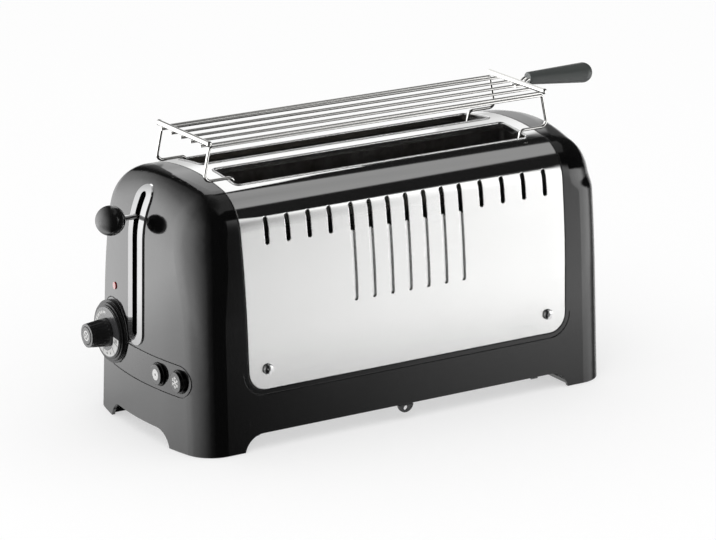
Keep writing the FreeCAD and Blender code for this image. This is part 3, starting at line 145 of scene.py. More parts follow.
def noise(tree, vector, scale, detail=2.0, rough=0.5):
    return add(tree, "ShaderNodeTexNoise", {"Vector": vector, "Scale": scale, "Detail": detail,
                                            "Roughness": rough}).outputs[0]


# mesh helpers
def meshFrom(name, bm):
    bmesh.ops.recalc_face_normals(bm, faces=bm.faces)
    mesh = bpy.data.meshes.new(name)
    bm.to_mesh(mesh)
    bm.free()
    return mesh


def flatMesh(name, corners):
    mesh = bpy.data.meshes.new(name)
    mesh.from_pydata(corners, [], [(0, 1, 2, 3)])
    return mesh


def studioPiece(name, mesh):
    # an object of the studio with an empty material of its own
    obj = bpy.data.objects.new(name, mesh)
    scene.collection.objects.link(obj)
    mat = bpy.data.materials.new(name)
    mat.use_nodes = True
    mat.node_tree.nodes.clear()
    mesh.materials.append(mat)
    return obj, mat


def smooth(obj):
    for poly in obj.data.polygons:
        poly.use_smooth = True


# studio room: what polished surfaces see in each direction, in degrees and brightness;
# a card's brightness is its value across times its value up, and slant tips its upper edge.
# Everything sees a share of each card, and the black body and the steel cover see more of some
room = {
    "cards": {
        "leftBox": {
            "across": [(-180, 0.72), (-165, 0.58), (-150, 0.38), (-135, 0.19), (-120, 0.04), (-105, 0),
                       (75.5, 0), (77, 0.075), (90, 0.2), (105, 0.45), (120, 0.72), (135, 0.95),
                       (150, 1.0), (165, 0.95), (180, 0.72)],
            "up": [(-90, 5.1), (0, 5.1), (16, 4.8), (24, 4.35), (32, 3.8), (40, 3.1), (48, 2.2),
                   (56, 1.55), (64, 0.95), (72, 0.5), (80, 0.2), (88, 0)],
            "seenBy": {"all": 0.27, "body": 0.73},
        },
        "rightBox": {
            "across": [(-61.8, 0), (-61, 0.15), (-59.2, 0.5), (-57.5, 1.1), (-55.6, 1.8), (-54, 2.3),
                       (-51.5, 0)],
            "up": [(-90, 1), (24, 1), (29.5, 0.8), (31.5, 0)],
            "seenBy": {"all": 0.5, "body": 0.5, "cover": 0.64},
        },
        "rightBoxFar": {
            "across": [(-54, 0), (-51.5, 2.7), (-46, 3.0), (-25, 3.1), (-14, 2.6), (-6, 1.0),
                       (4, 0.3), (24, 0)],
            "up": [(-90, 1), (14, 1), (17, 0)],
            "slant": 0.3, "slantFrom": -53,
            "seenBy": {"all": 0.5, "body": 0.5, "cover": 0.64},
        },
        "horizon": {
            "across": [(8, 0), (22, 1.2), (35, 1.6), (60, 1.2), (64, 0.5), (80, 0.5), (110, 0)],
            "up": [(-90, 0.7), (-6, 1), (0, 0.8), (5, 0)],
        },
        "backdrop": {
            "across": [(36, 0), (48.6, 0.25), (49.6, 1.4), (54, 1.3), (57, 0.85), (60, 0.8), (63, 0.2),
                       (70, 0)],
            "up": [(0, 0), (6, 0.9), (14, 1), (29, 1), (32, 0)],
        },
        "overhead": {
            "across": [(-75, 0), (-60, 1), (50, 1), (64, 0)],
            "up": [(50.5, 0), (52, 0.42), (60, 0.38), (66, 0.2), (75, 0.06), (88, 0)],
        },
    },
    "dark": 0.015,
    "plain": 0.92,
}


def degreesTo1(stops, half):
    return [((angle + half) / (2 * half), tone) for angle, tone in stops]


def roomTone(tree, toward, spec, group, dark=0.0):
    # brightness of the room in one direction, for one group of parts
    unit = add(tree, "ShaderNodeVectorMath", {0: toward}, operation="NORMALIZE")
    ways = splitCoord(tree, unit.outputs[0])
    azimuth = math1(tree, "DEGREES", math1(tree, "ARCTAN2", ways["Y"], ways["X"]))
    height = math1(tree, "DEGREES", math1(tree, "ARCSINE", ways["Z"]))
    total = dark
    for card in spec["cards"].values():
        share = card.get("seenBy", {"all": 1.0}).get(group, 0)
        if share == 0:
            continue
        level = height
        if "slant" in card:
            turn = math1(tree, "SUBTRACT", azimuth, card["slantFrom"])
            level = math1(tree, "ADD", height, math1(tree, "MULTIPLY", turn, card["slant"]))
        tones = []
        for key, angle, half in (("across", azimuth, 180), ("up", level, 90)):
            top = max(tone for degrees, tone in card[key])
            place = mapRange(tree, angle, -half, half)
            tones.append(ramp(tree, place, degreesTo1(card[key], half), top))
        tone = math1(tree, "MULTIPLY", math1(tree, "MULTIPLY", *tones), share)
        total = math1(tree, "ADD", tone, total)
    return total


def buildRoom(spec):
    world = bpy.data.worlds.new("studioRoom")
    scene.world = world
    world.use_nodes = True
    tree = world.node_tree
    tree.nodes.clear()
    toward = add(tree, "ShaderNodeTexCoord").outputs["Generated"]
    total = roomTone(tree, toward, spec, "all", spec["dark"])
    seen = add(tree, "ShaderNodeLightPath").outputs
    plain, polished, white = (
        add(tree, "ShaderNodeBackground", {"Color": pureWhite, "Strength": strength}).outputs[0]
        for strength in (spec["plain"], total, 1.0))
    lit = mixShaders(tree, seen["Is Glossy Ray"], plain, polished)
    straight = math1(tree, "MAXIMUM", seen["Is Camera Ray"], seen["Is Transmission Ray"])
    add(tree, "ShaderNodeOutputWorld", {0: mixShaders(tree, straight, lit, white)})


def hideFromAllButGloss(obj):
    for ray in ("camera", "diffuse", "transmission", "volume_scatter", "shadow"):
        setattr(obj, "visible_" + ray, False)


def hangShell(group, parts, spec, radius):
    # a clear shell round the room that glows only in the gloss of the group's parts
    bm = bmesh.new()
    bmesh.ops.create_icosphere(bm, subdivisions=3, radius=radius)
    name = group + "Shell"
    obj, mat = studioPiece(name, meshFrom(name, bm))
    mat.cycles.emission_sampling = "NONE"
    tree = mat.node_tree
    glow = glowing(tree, roomTone(tree, objectCoord(tree), spec, group))
    clear = add(tree, "ShaderNodeBsdfTransparent").outputs[0]
    both = add(tree, "ShaderNodeAddShader", {0: glow, 1: clear}).outputs[0]
    add(tree, "ShaderNodeOutputMaterial", {0: both})
    hideFromAllButGloss(obj)
    lit = bpy.data.collections.new(name)
    for part in parts:
        lit.objects.link(part)
    obj.light_linking.receiver_collection = lit


buildRoom(room)

# white card behind the toaster, seen only in polished surfaces, dimmer towards its foot
backCard = {"left": 0.12, "right": 0.47, "behind": 0.58, "top": 1.2, "brightest": 1.5,
            "glow": [(0, 0.6), (0.25, 0.78), (0.34, 0.95), (0.42, 1.45), (1, 1.5)]}


def standBackCard(spec):
    left, right, behind, top = (spec[key] for key in ("left", "right", "behind", "top"))
    corners = [(right, behind, 0), (left, behind, 0), (left, behind, top), (right, behind, top)]
    obj, mat = studioPiece("backCard", flatMesh("backCard", corners))
    tree = mat.node_tree
    height = splitCoord(tree, objectCoord(tree))["Z"]
    glow = glowing(tree, ramp(tree, height, spec["glow"], spec["brightest"]))
    add(tree, "ShaderNodeOutputMaterial", {0: glow})
    hideFromAllButGloss(obj)


standBackCard(backCard)

# the one lamp, for soft shading on what isn't polished
softLamp = {"place": (-1.4, -1.7, 2.4), "aim": (0, 0, 0.1), "size": 1.8, "power": 14}


def hangLamp(spec):
    data = bpy.data.lights.new("softLamp", "AREA")
    data.shape = "DISK"
    data.size = spec["size"]
    data.energy = spec["power"]
    lamp = bpy.data.objects.new("softLamp", data)
    scene.collection.objects.link(lamp)
    lamp.location = spec["place"]
    aim = Vector(spec["aim"]) - Vector(spec["place"])
    lamp.rotation_euler = aim.to_track_quat("-Z", "Y").to_euler()
    lamp.visible_glossy = False


hangLamp(softLamp)

# seen in gloss, the floor carries a painted shadow, dimmer close to the body; distance off the ends counts
# for less
floorSpec = {"half": 30.0, "shadowShare": 0.45, "bounce": (0.85, 0.85, 0.85, 1),
             "footprint": (0.20, 0.08), "share": (0.45, 1.0),
             "inGloss": [(0, 0.45), (0.05, 0.57), (0.166, 0.72), (0.25, 0.9), (0.315, 1.0)]}


def layFloor(spec):
    half = spec["half"]
    corners = [(-half, -half, 0), (half, -half, 0), (half, half, 0), (-half, half, 0)]
    obj, mat = studioPiece("studioFloor", flatMesh("studioFloor", corners))
    tree = mat.node_tree
    place = splitCoord(tree, objectCoord(tree))
    squares = []
    for axis, edge, share in zip("XY", spec["footprint"], spec["share"]):
        away = math1(tree, "SUBTRACT", math1(tree, "ABSOLUTE", place[axis]), edge)
        away = math1(tree, "MULTIPLY", math1(tree, "MAXIMUM", away, 0.0), share)
        squares.append(math1(tree, "POWER", away, 2.0))
    away = math1(tree, "SQRT", math1(tree, "ADD", *squares))
    # gloss rays see the world through the floor dimmed by this painted shadow, darkest at the body
    through = add(tree, "ShaderNodeBsdfTransparent", {"Color": ramp(tree, away, spec["inGloss"])})
    shadow, bounce = (add(tree, "ShaderNodeBsdfDiffuse", {"Color": colour}).outputs[0]
                      for colour in (pureWhite, spec["bounce"]))
    seen = add(tree, "ShaderNodeLightPath").outputs
    shown = mixShaders(tree, spec["shadowShare"], glowing(tree, 1.0), shadow)
    shown = mixShaders(tree, seen["Is Camera Ray"], bounce, shown)
    shown = mixShaders(tree, seen["Is Glossy Ray"], shown, through.outputs[0])
    add(tree, "ShaderNodeOutputMaterial", {0: shown})


layFloor(floorSpec)
print("studio built")


# effects shared by several materials, each a group that puts out masks, heights or normals
def buildGroup(name, work, inputs):
    tree = bpy.data.node_groups.new(name, "ShaderNodeTree")
    for label, value in inputs.items():
        tree.interface.new_socket(name=label, in_out="INPUT",
                                  socket_type="NodeSocketFloat").default_value = value
    made = work(tree, add(tree, "NodeGroupInput").outputs)
    for label, value in made.items():
        kind = "NodeSocketVector" if value.type == "VECTOR" else "NodeSocketFloat"
        tree.interface.new_socket(name=label, in_out="OUTPUT", socket_type=kind)
    add(tree, "NodeGroupOutput", made)
    return tree


def mouldGrain(tree, given):
    # fine spark-eroded grain of a moulding tool, with a slower wave in the wall
    where = objectCoord(tree)
    fine = noise(tree, where, given["Scale"], 3.0, 0.6)
    wave = noise(tree, where, given["Wave Scale"], 1.0)
    return {"Height": math1(tree, "ADD", math1(tree, "MULTIPLY", fine, 0.3), wave),
            "Mottle": mapRange(tree, fine, 0.3, 0.7)}


def handlingHaze(tree, given):
    # faint smears and wiped patches, as a mask from 0 to 1
    where = objectCoord(tree)
    patch = mapRange(tree, noise(tree, where, given["Patch Scale"], 3.0, 0.55), 0.38, 0.68)
    smear = noise(tree, stretched(tree, where, 1.0, 3.5, 0.6), given["Smear Scale"], 4.0, 0.6)
    smear = math1(tree, "ADD", mapRange(tree, smear, 0.4, 0.75), 0.35)
    return {"Haze": math1(tree, "MULTIPLY", patch, smear, clamp=True)}


def settledDust(tree, given):
    # thin dust on what faces up, thicker in patches
    normal = splitCoord(tree, add(tree, "ShaderNodeNewGeometry").outputs["Normal"])
    up = mapRange(tree, normal["Z"], 0.55, 1.0)
    where = objectCoord(tree)
    specks = mapRange(tree, noise(tree, where, given["Scale"], 2.0, 0.7), 0.52, 0.72)
    film = mapRange(tree, noise(tree, where, 14.0, 3.0), 0.35, 0.7, 0.15)
    both = math1(tree, "MULTIPLY", math1(tree, "ADD", specks, 0.25), film)
    both = math1(tree, "MULTIPLY", both, up)
    return {"Dust": math1(tree, "MULTIPLY", both, given["Amount"], clamp=True)}


def polishLines(tree, given):
    # hairlines left by the polishing belt, running lengthways
    split = splitCoord(tree, objectCoord(tree))
    along = math1(tree, "MULTIPLY", split["X"], given["Length"])
    drawn = add(tree, "ShaderNodeCombineXYZ", {"X": along, "Y": split["Y"], "Z": split["Z"]})
    lines = noise(tree, drawn.outputs[0], given["Scale"], 2.0, 0.7)
    return {"Height": lines, "Lines": mapRange(tree, lines, 0.35, 0.65)}


def edgeRub(tree, given):
    # a mask along convex edges, from the bend between the rounded and the true normal
    bevel = add(tree, "ShaderNodeBevel", {"Radius": given["Radius"]}, samples=4)
    normal = add(tree, "ShaderNodeNewGeometry").outputs["Normal"]
    dot = add(tree, "ShaderNodeVectorMath", {0: bevel.outputs[0], 1: normal}, operation="DOT_PRODUCT")
    edge = mapRange(tree, dot.outputs["Value"], 0.97, 0.80)
    broken = mapRange(tree, noise(tree, objectCoord(tree), 260.0, 3.0), 0.35, 0.6, 0.25)
    both = math1(tree, "MULTIPLY", edge, broken)
    return {"Edge": math1(tree, "MULTIPLY", both, given["Amount"], clamp=True)}


def softEdge(tree, given):
    # normals turned as if every sharp edge were rounded by the radius
    return {"Normal": add(tree, "ShaderNodeBevel", {"Radius": given["Radius"]}, samples=4).outputs[0]}


def heatBloom(tree, given):
    # straw to blue oxide bloom on metal near the elements
    return {"Bloom": mapRange(tree, noise(tree, objectCoord(tree), given["Scale"], 3.0, 0.6), 0.4, 0.68)}


def zincSpangle(tree, given):
    # crystal patches of hot-dip zinc
    where = objectCoord(tree)
    shift = add(tree, "ShaderNodeTexNoise", {"Vector": where, "Scale": 90.0, "Detail": 2.0})
    push = add(tree, "ShaderNodeVectorMath", {0: shift.outputs["Color"], "Scale": 0.004},
               operation="SCALE")
    bend = add(tree, "ShaderNodeVectorMath", {0: where, 1: push.outputs[0]}, operation="ADD")
    cells = add(tree, "ShaderNodeTexVoronoi", {"Vector": bend.outputs[0], "Scale": given["Scale"]})
    tone = add(tree, "ShaderNodeSeparateColor", {0: cells.outputs["Color"]})
    return {"Tone": tone.outputs[0], "Grain": noise(tree, where, 1500.0, 2.0)}


groups = {name: buildGroup(name, work, inputs) for name, work, inputs in (
    ("mouldGrain", mouldGrain, {"Scale": 1200.0, "Wave Scale": 40.0}),
    ("handlingHaze", handlingHaze, {"Patch Scale": 9.0, "Smear Scale": 30.0}),
    ("settledDust", settledDust, {"Amount": 0.3, "Scale": 700.0}),
    ("polishLines", polishLines, {"Scale": 2600.0, "Length": 0.006}),
    ("edgeRub", edgeRub, {"Radius": 0.0006, "Amount": 1.0}),
    ("softEdge", softEdge, {"Radius": 0.0005}),
    ("heatBloom", heatBloom, {"Scale": 18.0}),
    ("zincSpangle", zincSpangle, {"Scale": 160.0}),
)}
print("effect groups built:", len(groups))
# where a Mix node keeps its two values and its result, for colours and for single values
mixSockets = {"RGBA": (6, 7, 2), "FLOAT": (2, 3, 0)}


class Finish:
    # one Principled material, its groups placed and wired step by step
    def __init__(self, name, base, rough, metal=0.0, **sockets):
        self.mat = bpy.data.materials.new(name)
        self.mat.use_nodes = True
        self.tree = self.mat.node_tree
        self.shader = self.tree.nodes["Principled BSDF"]
        self.colour, self.normal = (*base, 1), None
        sockets.update(Base_Color=self.colour, Roughness=rough, Metallic=metal)
        for label, value in sockets.items():
            self.shader.inputs[label.replace("_", " ")].default_value = value

    def wire(self, label, value):
        self.tree.links.new(value, self.shader.inputs[label])
        return self

    def group(self, name, **values):
        values = {label.replace("_", " "): value for label, value in values.items()}
        return add(self.tree, "ShaderNodeGroup", values, node_tree=groups[name]).outputs

    def tint(self, mask, colour, share=1.0):
        # mixes a colour over what is there, where the mask says
        old, new, out = mixSockets["RGBA"]
        values = {0: math1(self.tree, "MULTIPLY", mask, share, clamp=True),
                  old: self.colour, new: (*colour, 1)}
        self.colour = add(self.tree, "ShaderNodeMix", values, data_type="RGBA").outputs[out]
        return self.wire("Base Color", self.colour)

    def roughen(self, mask, low, high):
        # roughness runs from low to high with the mask
        return self.wire("Roughness", mapRange(self.tree, mask, 0, 1, low, high))

    def soften(self, mask, value):
        # takes the roughness that is there to one value, where the mask says
        old, new, out = mixSockets["FLOAT"]
        rough = self.shader.inputs["Roughness"].links[0].from_socket
        node = add(self.tree, "ShaderNodeMix", {0: mask, old: rough, new: value}, data_type="FLOAT")
        return self.wire("Roughness", node.outputs[out])

    def round(self, radius):
        # comes before any bump, which then works on the rounded normal
        self.normal = self.group("softEdge", Radius=radius)["Normal"]
        return self.wire("Normal", self.normal)

    def bump(self, height, distance):
        values = {"Strength": 1.0, "Distance": distance, "Height": height}
        if self.normal is not None:
            values["Normal"] = self.normal
        self.normal = add(self.tree, "ShaderNodeBump", values).outputs[0]
        return self.wire("Normal", self.normal)

    def lengthways(self, amount):
        # stretches the gloss along the part's length, as a belt-polished sheet does
        self.shader.inputs["Anisotropic"].default_value = amount
        self.shader.inputs["Anisotropic Rotation"].default_value = 0.25
        tangent = add(self.tree, "ShaderNodeTangent", direction_type="RADIAL", axis="X")
        return self.wire("Tangent", tangent.outputs[0])


def glossMoulding(name, base, rough, grain=1200.0, distance=0.000004, dust=0.25, rub=0.5, edge=0.0007):
    fin = Finish(name, base, rough).round(edge)
    body = fin.group("mouldGrain", Scale=grain)
    haze = fin.group("handlingHaze")["Haze"]
    fin.tint(fin.group("edgeRub", Amount=rub)["Edge"], [c * 1.8 + 0.006 for c in base])
    fin.tint(fin.group("settledDust", Amount=dust)["Dust"], (0.10, 0.098, 0.094))
    fin.roughen(haze, rough, rough + 0.07)
    fin.bump(body["Height"], distance)
    return fin


def satinMoulding(name, base, rough, grain=1500.0, distance=0.00002, dust=0.3, rub=0.8):
    fin = Finish(name, base, rough)
    body = fin.group("mouldGrain", Scale=grain)
    fin.tint(body["Mottle"], [c * 1.3 + 0.002 for c in base], 0.5)
    fin.tint(fin.group("edgeRub", Amount=rub)["Edge"], [c * 1.7 + 0.01 for c in base])
    fin.tint(fin.group("settledDust", Amount=dust)["Dust"], (0.16, 0.155, 0.15))
    fin.roughen(body["Mottle"], rough - 0.05, rough + 0.08)
    fin.bump(body["Height"], distance)
    return fin


def zincSheet(name, base, rough, spangle):
    fin = Finish(name, base, rough, 1.0)
    zinc = fin.group("zincSpangle", Scale=spangle)
    fin.tint(zinc["Tone"], [c * 0.72 for c in base])
    fin.tint(fin.group("settledDust", Amount=0.3)["Dust"], (0.3, 0.29, 0.27))
    fin.roughen(zinc["Tone"], rough - 0.06, rough + 0.12)
    fin.bump(zinc["Grain"], 0.00001)
    return fin


def blackGloss():
    return glossMoulding("blackGloss", (0.0022, 0.0022, 0.0023), 0.055)


def polishedSteel():
    # mirror bright where the sheet is bent over, softer on the flat sides
    fin = Finish("polishedSteel", (0.65, 0.65, 0.645), 0.20, 1.0).lengthways(0.9).round(0.0008)
    lines = fin.group("polishLines")
    haze = fin.group("handlingHaze", Patch_Scale=6.0)["Haze"]
    fin.tint(lines["Lines"], (0.59, 0.59, 0.585), 0.35)
    facing = splitCoord(fin.tree, add(fin.tree, "ShaderNodeTexCoord").outputs["Normal"])
    bent = mapRange(fin.tree, math1(fin.tree, "ABSOLUTE", facing["Z"]), 0.10, 0.35)
    fin.roughen(haze, 0.235, 0.27)
    fin.soften(bent, 0.06)
    fin.bump(lines["Height"], 0.0000006)
    return fin


def chromePlate():
    fin = Finish("chromePlate", (0.78, 0.78, 0.78), 0.04, 1.0)
    haze = fin.group("handlingHaze", Patch_Scale=25.0)["Haze"]
    fin.tint(haze, (0.70, 0.70, 0.71), 0.5)
    fin.roughen(haze, 0.035, 0.11)
    return fin


def scaleGrey():
    # turned face of the dial ring under clear lacquer, faint turning lines
    fin = Finish("scaleGrey", (0.045, 0.045, 0.047), 0.14)
    lines = fin.group("polishLines", Scale=1600.0, Length=1.0)
    fin.tint(lines["Lines"], (0.03, 0.03, 0.032), 0.6)
    fin.roughen(fin.group("handlingHaze", Patch_Scale=60.0)["Haze"], 0.12, 0.2)
    fin.bump(lines["Height"], 0.000001)
    return fin


def lensRed():
    fin = Finish("lensRed", (0.42, 0.015, 0.018), 0.12, Coat_Weight=0.6, Coat_Roughness=0.05)
    cells = fin.group("mouldGrain", Scale=900.0)
    fin.tint(cells["Mottle"], (0.25, 0.006, 0.008), 0.7)
    fin.roughen(fin.group("handlingHaze", Patch_Scale=80.0)["Haze"], 0.10, 0.22)
    fin.bump(cells["Height"], 0.00003)
    return fin


def brightReflector():
    fin = Finish("brightReflector", (0.45, 0.45, 0.44), 0.30, 1.0)
    lines = fin.group("polishLines", Scale=900.0, Length=0.02)
    fin.tint(fin.group("heatBloom")["Bloom"], (0.34, 0.28, 0.20), 0.45)
    fin.roughen(lines["Lines"], 0.24, 0.40)
    fin.bump(lines["Height"], 0.000004)
    return fin


def paintedShadeDeck():
    # the deck under the cover, dark all over as painted shade inside the slots, with zinc spangle and random
    # heat bloom
    fin = Finish("paintedShadeDeck", (0.16, 0.155, 0.15), 0.45, 1.0)
    fin.tint(fin.group("zincSpangle", Scale=190.0)["Tone"], (0.12, 0.118, 0.115))
    fin.tint(fin.group("heatBloom", Scale=30.0)["Bloom"], (0.06, 0.05, 0.045), 0.7)
    fin.roughen(fin.group("mouldGrain", Scale=900.0)["Mottle"], 0.38, 0.58)
    return fin


def micaBoard():
    fin = Finish("micaBoard", (0.17, 0.15, 0.125), 0.42)
    flakes = fin.group("zincSpangle", Scale=420.0)
    fin.tint(flakes["Tone"], (0.23, 0.21, 0.175), 0.8)
    fin.tint(fin.group("heatBloom", Scale=26.0)["Bloom"], (0.09, 0.07, 0.05), 0.5)
    fin.roughen(flakes["Tone"], 0.28, 0.55)
    fin.bump(flakes["Grain"], 0.00004)
    return fin


def heatingRibbon():
    fin = Finish("heatingRibbon", (0.32, 0.30, 0.28), 0.45, 1.0)
    fin.tint(fin.group("heatBloom", Scale=60.0)["Bloom"], (0.13, 0.12, 0.13), 0.8)
    fin.roughen(fin.group("mouldGrain", Scale=2000.0)["Mottle"], 0.35, 0.6)
    return fin


def guardWire():
    fin = Finish("guardWire", (0.66, 0.65, 0.63), 0.24, 1.0)
    fin.tint(fin.group("heatBloom", Scale=22.0)["Bloom"], (0.55, 0.45, 0.33), 0.5)
    lines = fin.group("polishLines", Scale=3000.0)
    fin.roughen(lines["Lines"], 0.18, 0.32)
    fin.bump(lines["Height"], 0.000002)
    return fin


def rackWire():
    # bright nickel over drawn wire
    fin = Finish("rackWire", (0.56, 0.555, 0.54), 0.07, 1.0)
    lines = fin.group("polishLines", Scale=2200.0, Length=0.05)
    fin.tint(fin.group("handlingHaze", Patch_Scale=40.0)["Haze"], (0.46, 0.455, 0.44), 0.6)
    fin.roughen(lines["Lines"], 0.05, 0.10)
    fin.bump(lines["Height"], 0.000001)
    return fin


def copperCoil():
    # enamelled wire wound in close turns
    fin = Finish("copperCoil", (0.55, 0.20, 0.07), 0.28, 0.85)
    values = {"Vector": objectCoord(fin.tree), "Scale": 700.0, "Distortion": 0.4}
    turns = add(fin.tree, "ShaderNodeTexWave", values, wave_type="BANDS",
                bands_direction="Z").outputs["Fac"]
    fin.tint(turns, (0.38, 0.11, 0.035), 0.6)
    fin.roughen(turns, 0.22, 0.4)
    fin.bump(turns, 0.0002)
    return fin


def brassLeaf():
    fin = Finish("brassLeaf", (0.72, 0.52, 0.22), 0.25, 1.0)
    fin.tint(fin.group("heatBloom", Scale=120.0)["Bloom"], (0.45, 0.30, 0.13), 0.6)
    fin.roughen(fin.group("mouldGrain", Scale=1800.0)["Mottle"], 0.2, 0.4)
    return fin


def boardGreen():
    # glass-fibre board under green lacquer, weave and tracks showing faintly
    fin = Finish("boardGreen", (0.010, 0.085, 0.035), 0.35, Coat_Weight=0.4, Coat_Roughness=0.15)
    turned = add(fin.tree, "ShaderNodeMapping", {"Vector": objectCoord(fin.tree),
                                                 "Rotation": (0, math.pi / 2, 0)})
    tracks = add(fin.tree, "ShaderNodeTexBrick", {"Vector": turned.outputs[0], "Scale": 90.0,
                                                  "Mortar Size": 0.05}).outputs["Fac"]
    fin.tint(tracks, (0.035, 0.19, 0.08), 0.8)
    fin.roughen(fin.group("mouldGrain", Scale=1600.0)["Mottle"], 0.28, 0.42)
    fin.bump(tracks, 0.00003)
    return fin


def dialBezelBlack():
    fin = Finish("dialBezelBlack", (0.003, 0.003, 0.0031), 0.16, Specular_IOR_Level=0.2).round(0.0005)
    body = fin.group("mouldGrain", Scale=1400.0)
    fin.tint(fin.group("edgeRub", Amount=0.4)["Edge"], (0.012, 0.012, 0.012))
    fin.roughen(body["Mottle"], 0.12, 0.22)
    fin.bump(body["Height"], 0.000003)
    return fin


# the ring round each cap is painted shade: near black, and metal so that it reflects almost nothing
buttonShadeRing = {"from": 8.5 * mm, "blend": 0.2 * mm, "tone": (0.008, 0.008, 0.008)}


def buttonFinish(name):
    # glossy cap inside a ring of painted shade, near black and unreflective for the gap and the cap's side,
    # told apart by the distance from the button's axis
    low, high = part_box(name)
    fin = glossMoulding(name + "Gloss", (0.005, 0.005, 0.0052), 0.14, distance=0.000002, dust=0.15)
    offset = add(fin.tree, "ShaderNodeVectorMath", {0: objectCoord(fin.tree), 1: (low + high) / 2},
                 operation="SUBTRACT")
    flat = stretched(fin.tree, offset.outputs[0], 0, 1, 1)
    across = add(fin.tree, "ShaderNodeVectorMath", {0: flat}, operation="LENGTH").outputs["Value"]
    ring = mapRange(fin.tree, across, buttonShadeRing["from"], buttonShadeRing["from"] + buttonShadeRing["blend"])
    return fin.tint(ring, buttonShadeRing["tone"]).wire("Metallic", ring)


def whitePrint():
    fin = Finish("whitePrint", (0.86, 0.86, 0.85), 0.38)
    cells = fin.group("mouldGrain", Scale=2500.0)
    fin.tint(cells["Mottle"], (0.78, 0.78, 0.77), 0.5)
    fin.roughen(cells["Mottle"], 0.32, 0.46)
    fin.bump(cells["Height"], 0.000004)
    return fin


def darkPrint():
    fin = Finish("darkPrint", (0.02, 0.02, 0.021), 0.4)
    cells = fin.group("mouldGrain", Scale=2500.0)
    fin.tint(cells["Mottle"], (0.035, 0.035, 0.036), 0.5)
    fin.roughen(cells["Mottle"], 0.35, 0.5)
    return fin


finishes = {
    "black_gloss": blackGloss(),
    "polished_steel": polishedSteel(),
    "chrome_plate": chromePlate(),
    "knob_black": glossMoulding("ballBlack", (0.004, 0.004, 0.004), 0.12, dust=0.3),
    "dial_black": glossMoulding("dialBlack", (0.008, 0.008, 0.0082), 0.12, distance=0.000002, dust=0.15),
    "scale_silver": scaleGrey(),
    "button_black": glossMoulding("buttonBlack", (0.005, 0.005, 0.0052), 0.16, distance=0.000003, dust=0.15),
    "lens_red": lensRed(),
    "rubber_black": satinMoulding("rubberBlack", (0.018, 0.018, 0.018), 0.72, distance=0.00005),
    "galvanised": zincSheet("galvanisedSheet", (0.56, 0.57, 0.58), 0.36, 190.0),
    "bright_reflector": brightReflector(),
    "mica": micaBoard(),
    "heating_ribbon": heatingRibbon(),
    "guard_wire": guardWire(),
    "bearing_plastic": satinMoulding("bearingWhite", (0.62, 0.60, 0.55), 0.38, distance=0.00001),
    "copper_coil": copperCoil(),
    "brass_leaf": brassLeaf(),
    "board_green": boardGreen(),
    "dark_moulding": satinMoulding("darkMoulding", (0.020, 0.020, 0.021), 0.42),
    "rack_wire": rackWire(),
    "grip_dark": satinMoulding("gripDark", (0.041, 0.046, 0.044), 0.42, grain=1800.0,
                               distance=0.00001, dust=0.2, rub=0.3),
}
printWhite, printDark = whitePrint(), darkPrint()
ownFinish = {"top_plate": paintedShadeDeck(), "dial_bezel": dialBezelBlack()}
for button in ("bagel_button", "defrost_button"):
    ownFinish[button] = buttonFinish(button)

for node in nodes.values():
    for place in node.material_slots:
        name = place.material.name.split(".")[0]
        if name in finishes:
            place.material = finishes[name].mat
for name, fin in ownFinish.items():
    for place in nodes[name].material_slots:
        place.material = fin.mat
coverMat = finishes["polished_steel"].mat
metals = {fin.mat for fin in finishes.values() if fin.shader.inputs["Metallic"].default_value > 0.5}
metals.add(ownFinish["top_plate"].mat)
coverParts = [node for node in nodes.values() if node.material_slots[0].material == coverMat]
bodyParts = [node for name, node in nodes.items()
             if name.startswith("rack_") or node.material_slots[0].material not in metals]
# the shells' radii differ, because one would darken the other's parts if they lay together
shellRadius = {"body": 25.0, "cover": 27.0}
hangShell("body", bodyParts, room, shellRadius["body"])
hangShell("cover", coverParts, room, shellRadius["cover"])
print("shells hung for", len(bodyParts), "body and", len(coverParts), "cover parts")
# the bright rack would cross the cover's clean reflections
for name in nodes:
    if name.startswith("rack_"):
        nodes[name].visible_glossy = False
print("finishes on", len(nodes), "nodes")


# a small piece of the part itself; one without a body is left unattached
def keepPiece(name, bm, finish, body):
    mesh = meshFrom(name, bm)
    mesh.materials.append(finish.mat)
    obj = bpy.data.objects.new(name, mesh)
    scene.collection.objects.link(obj)
    if body:
        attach(obj, body)
    return obj


def clockPoint(radius, angle):
    # a place on a dial; angles are in degrees, clockwise from the top
    turn = math.radians(angle)
    return radius * math.sin(turn), radius * math.cos(turn)


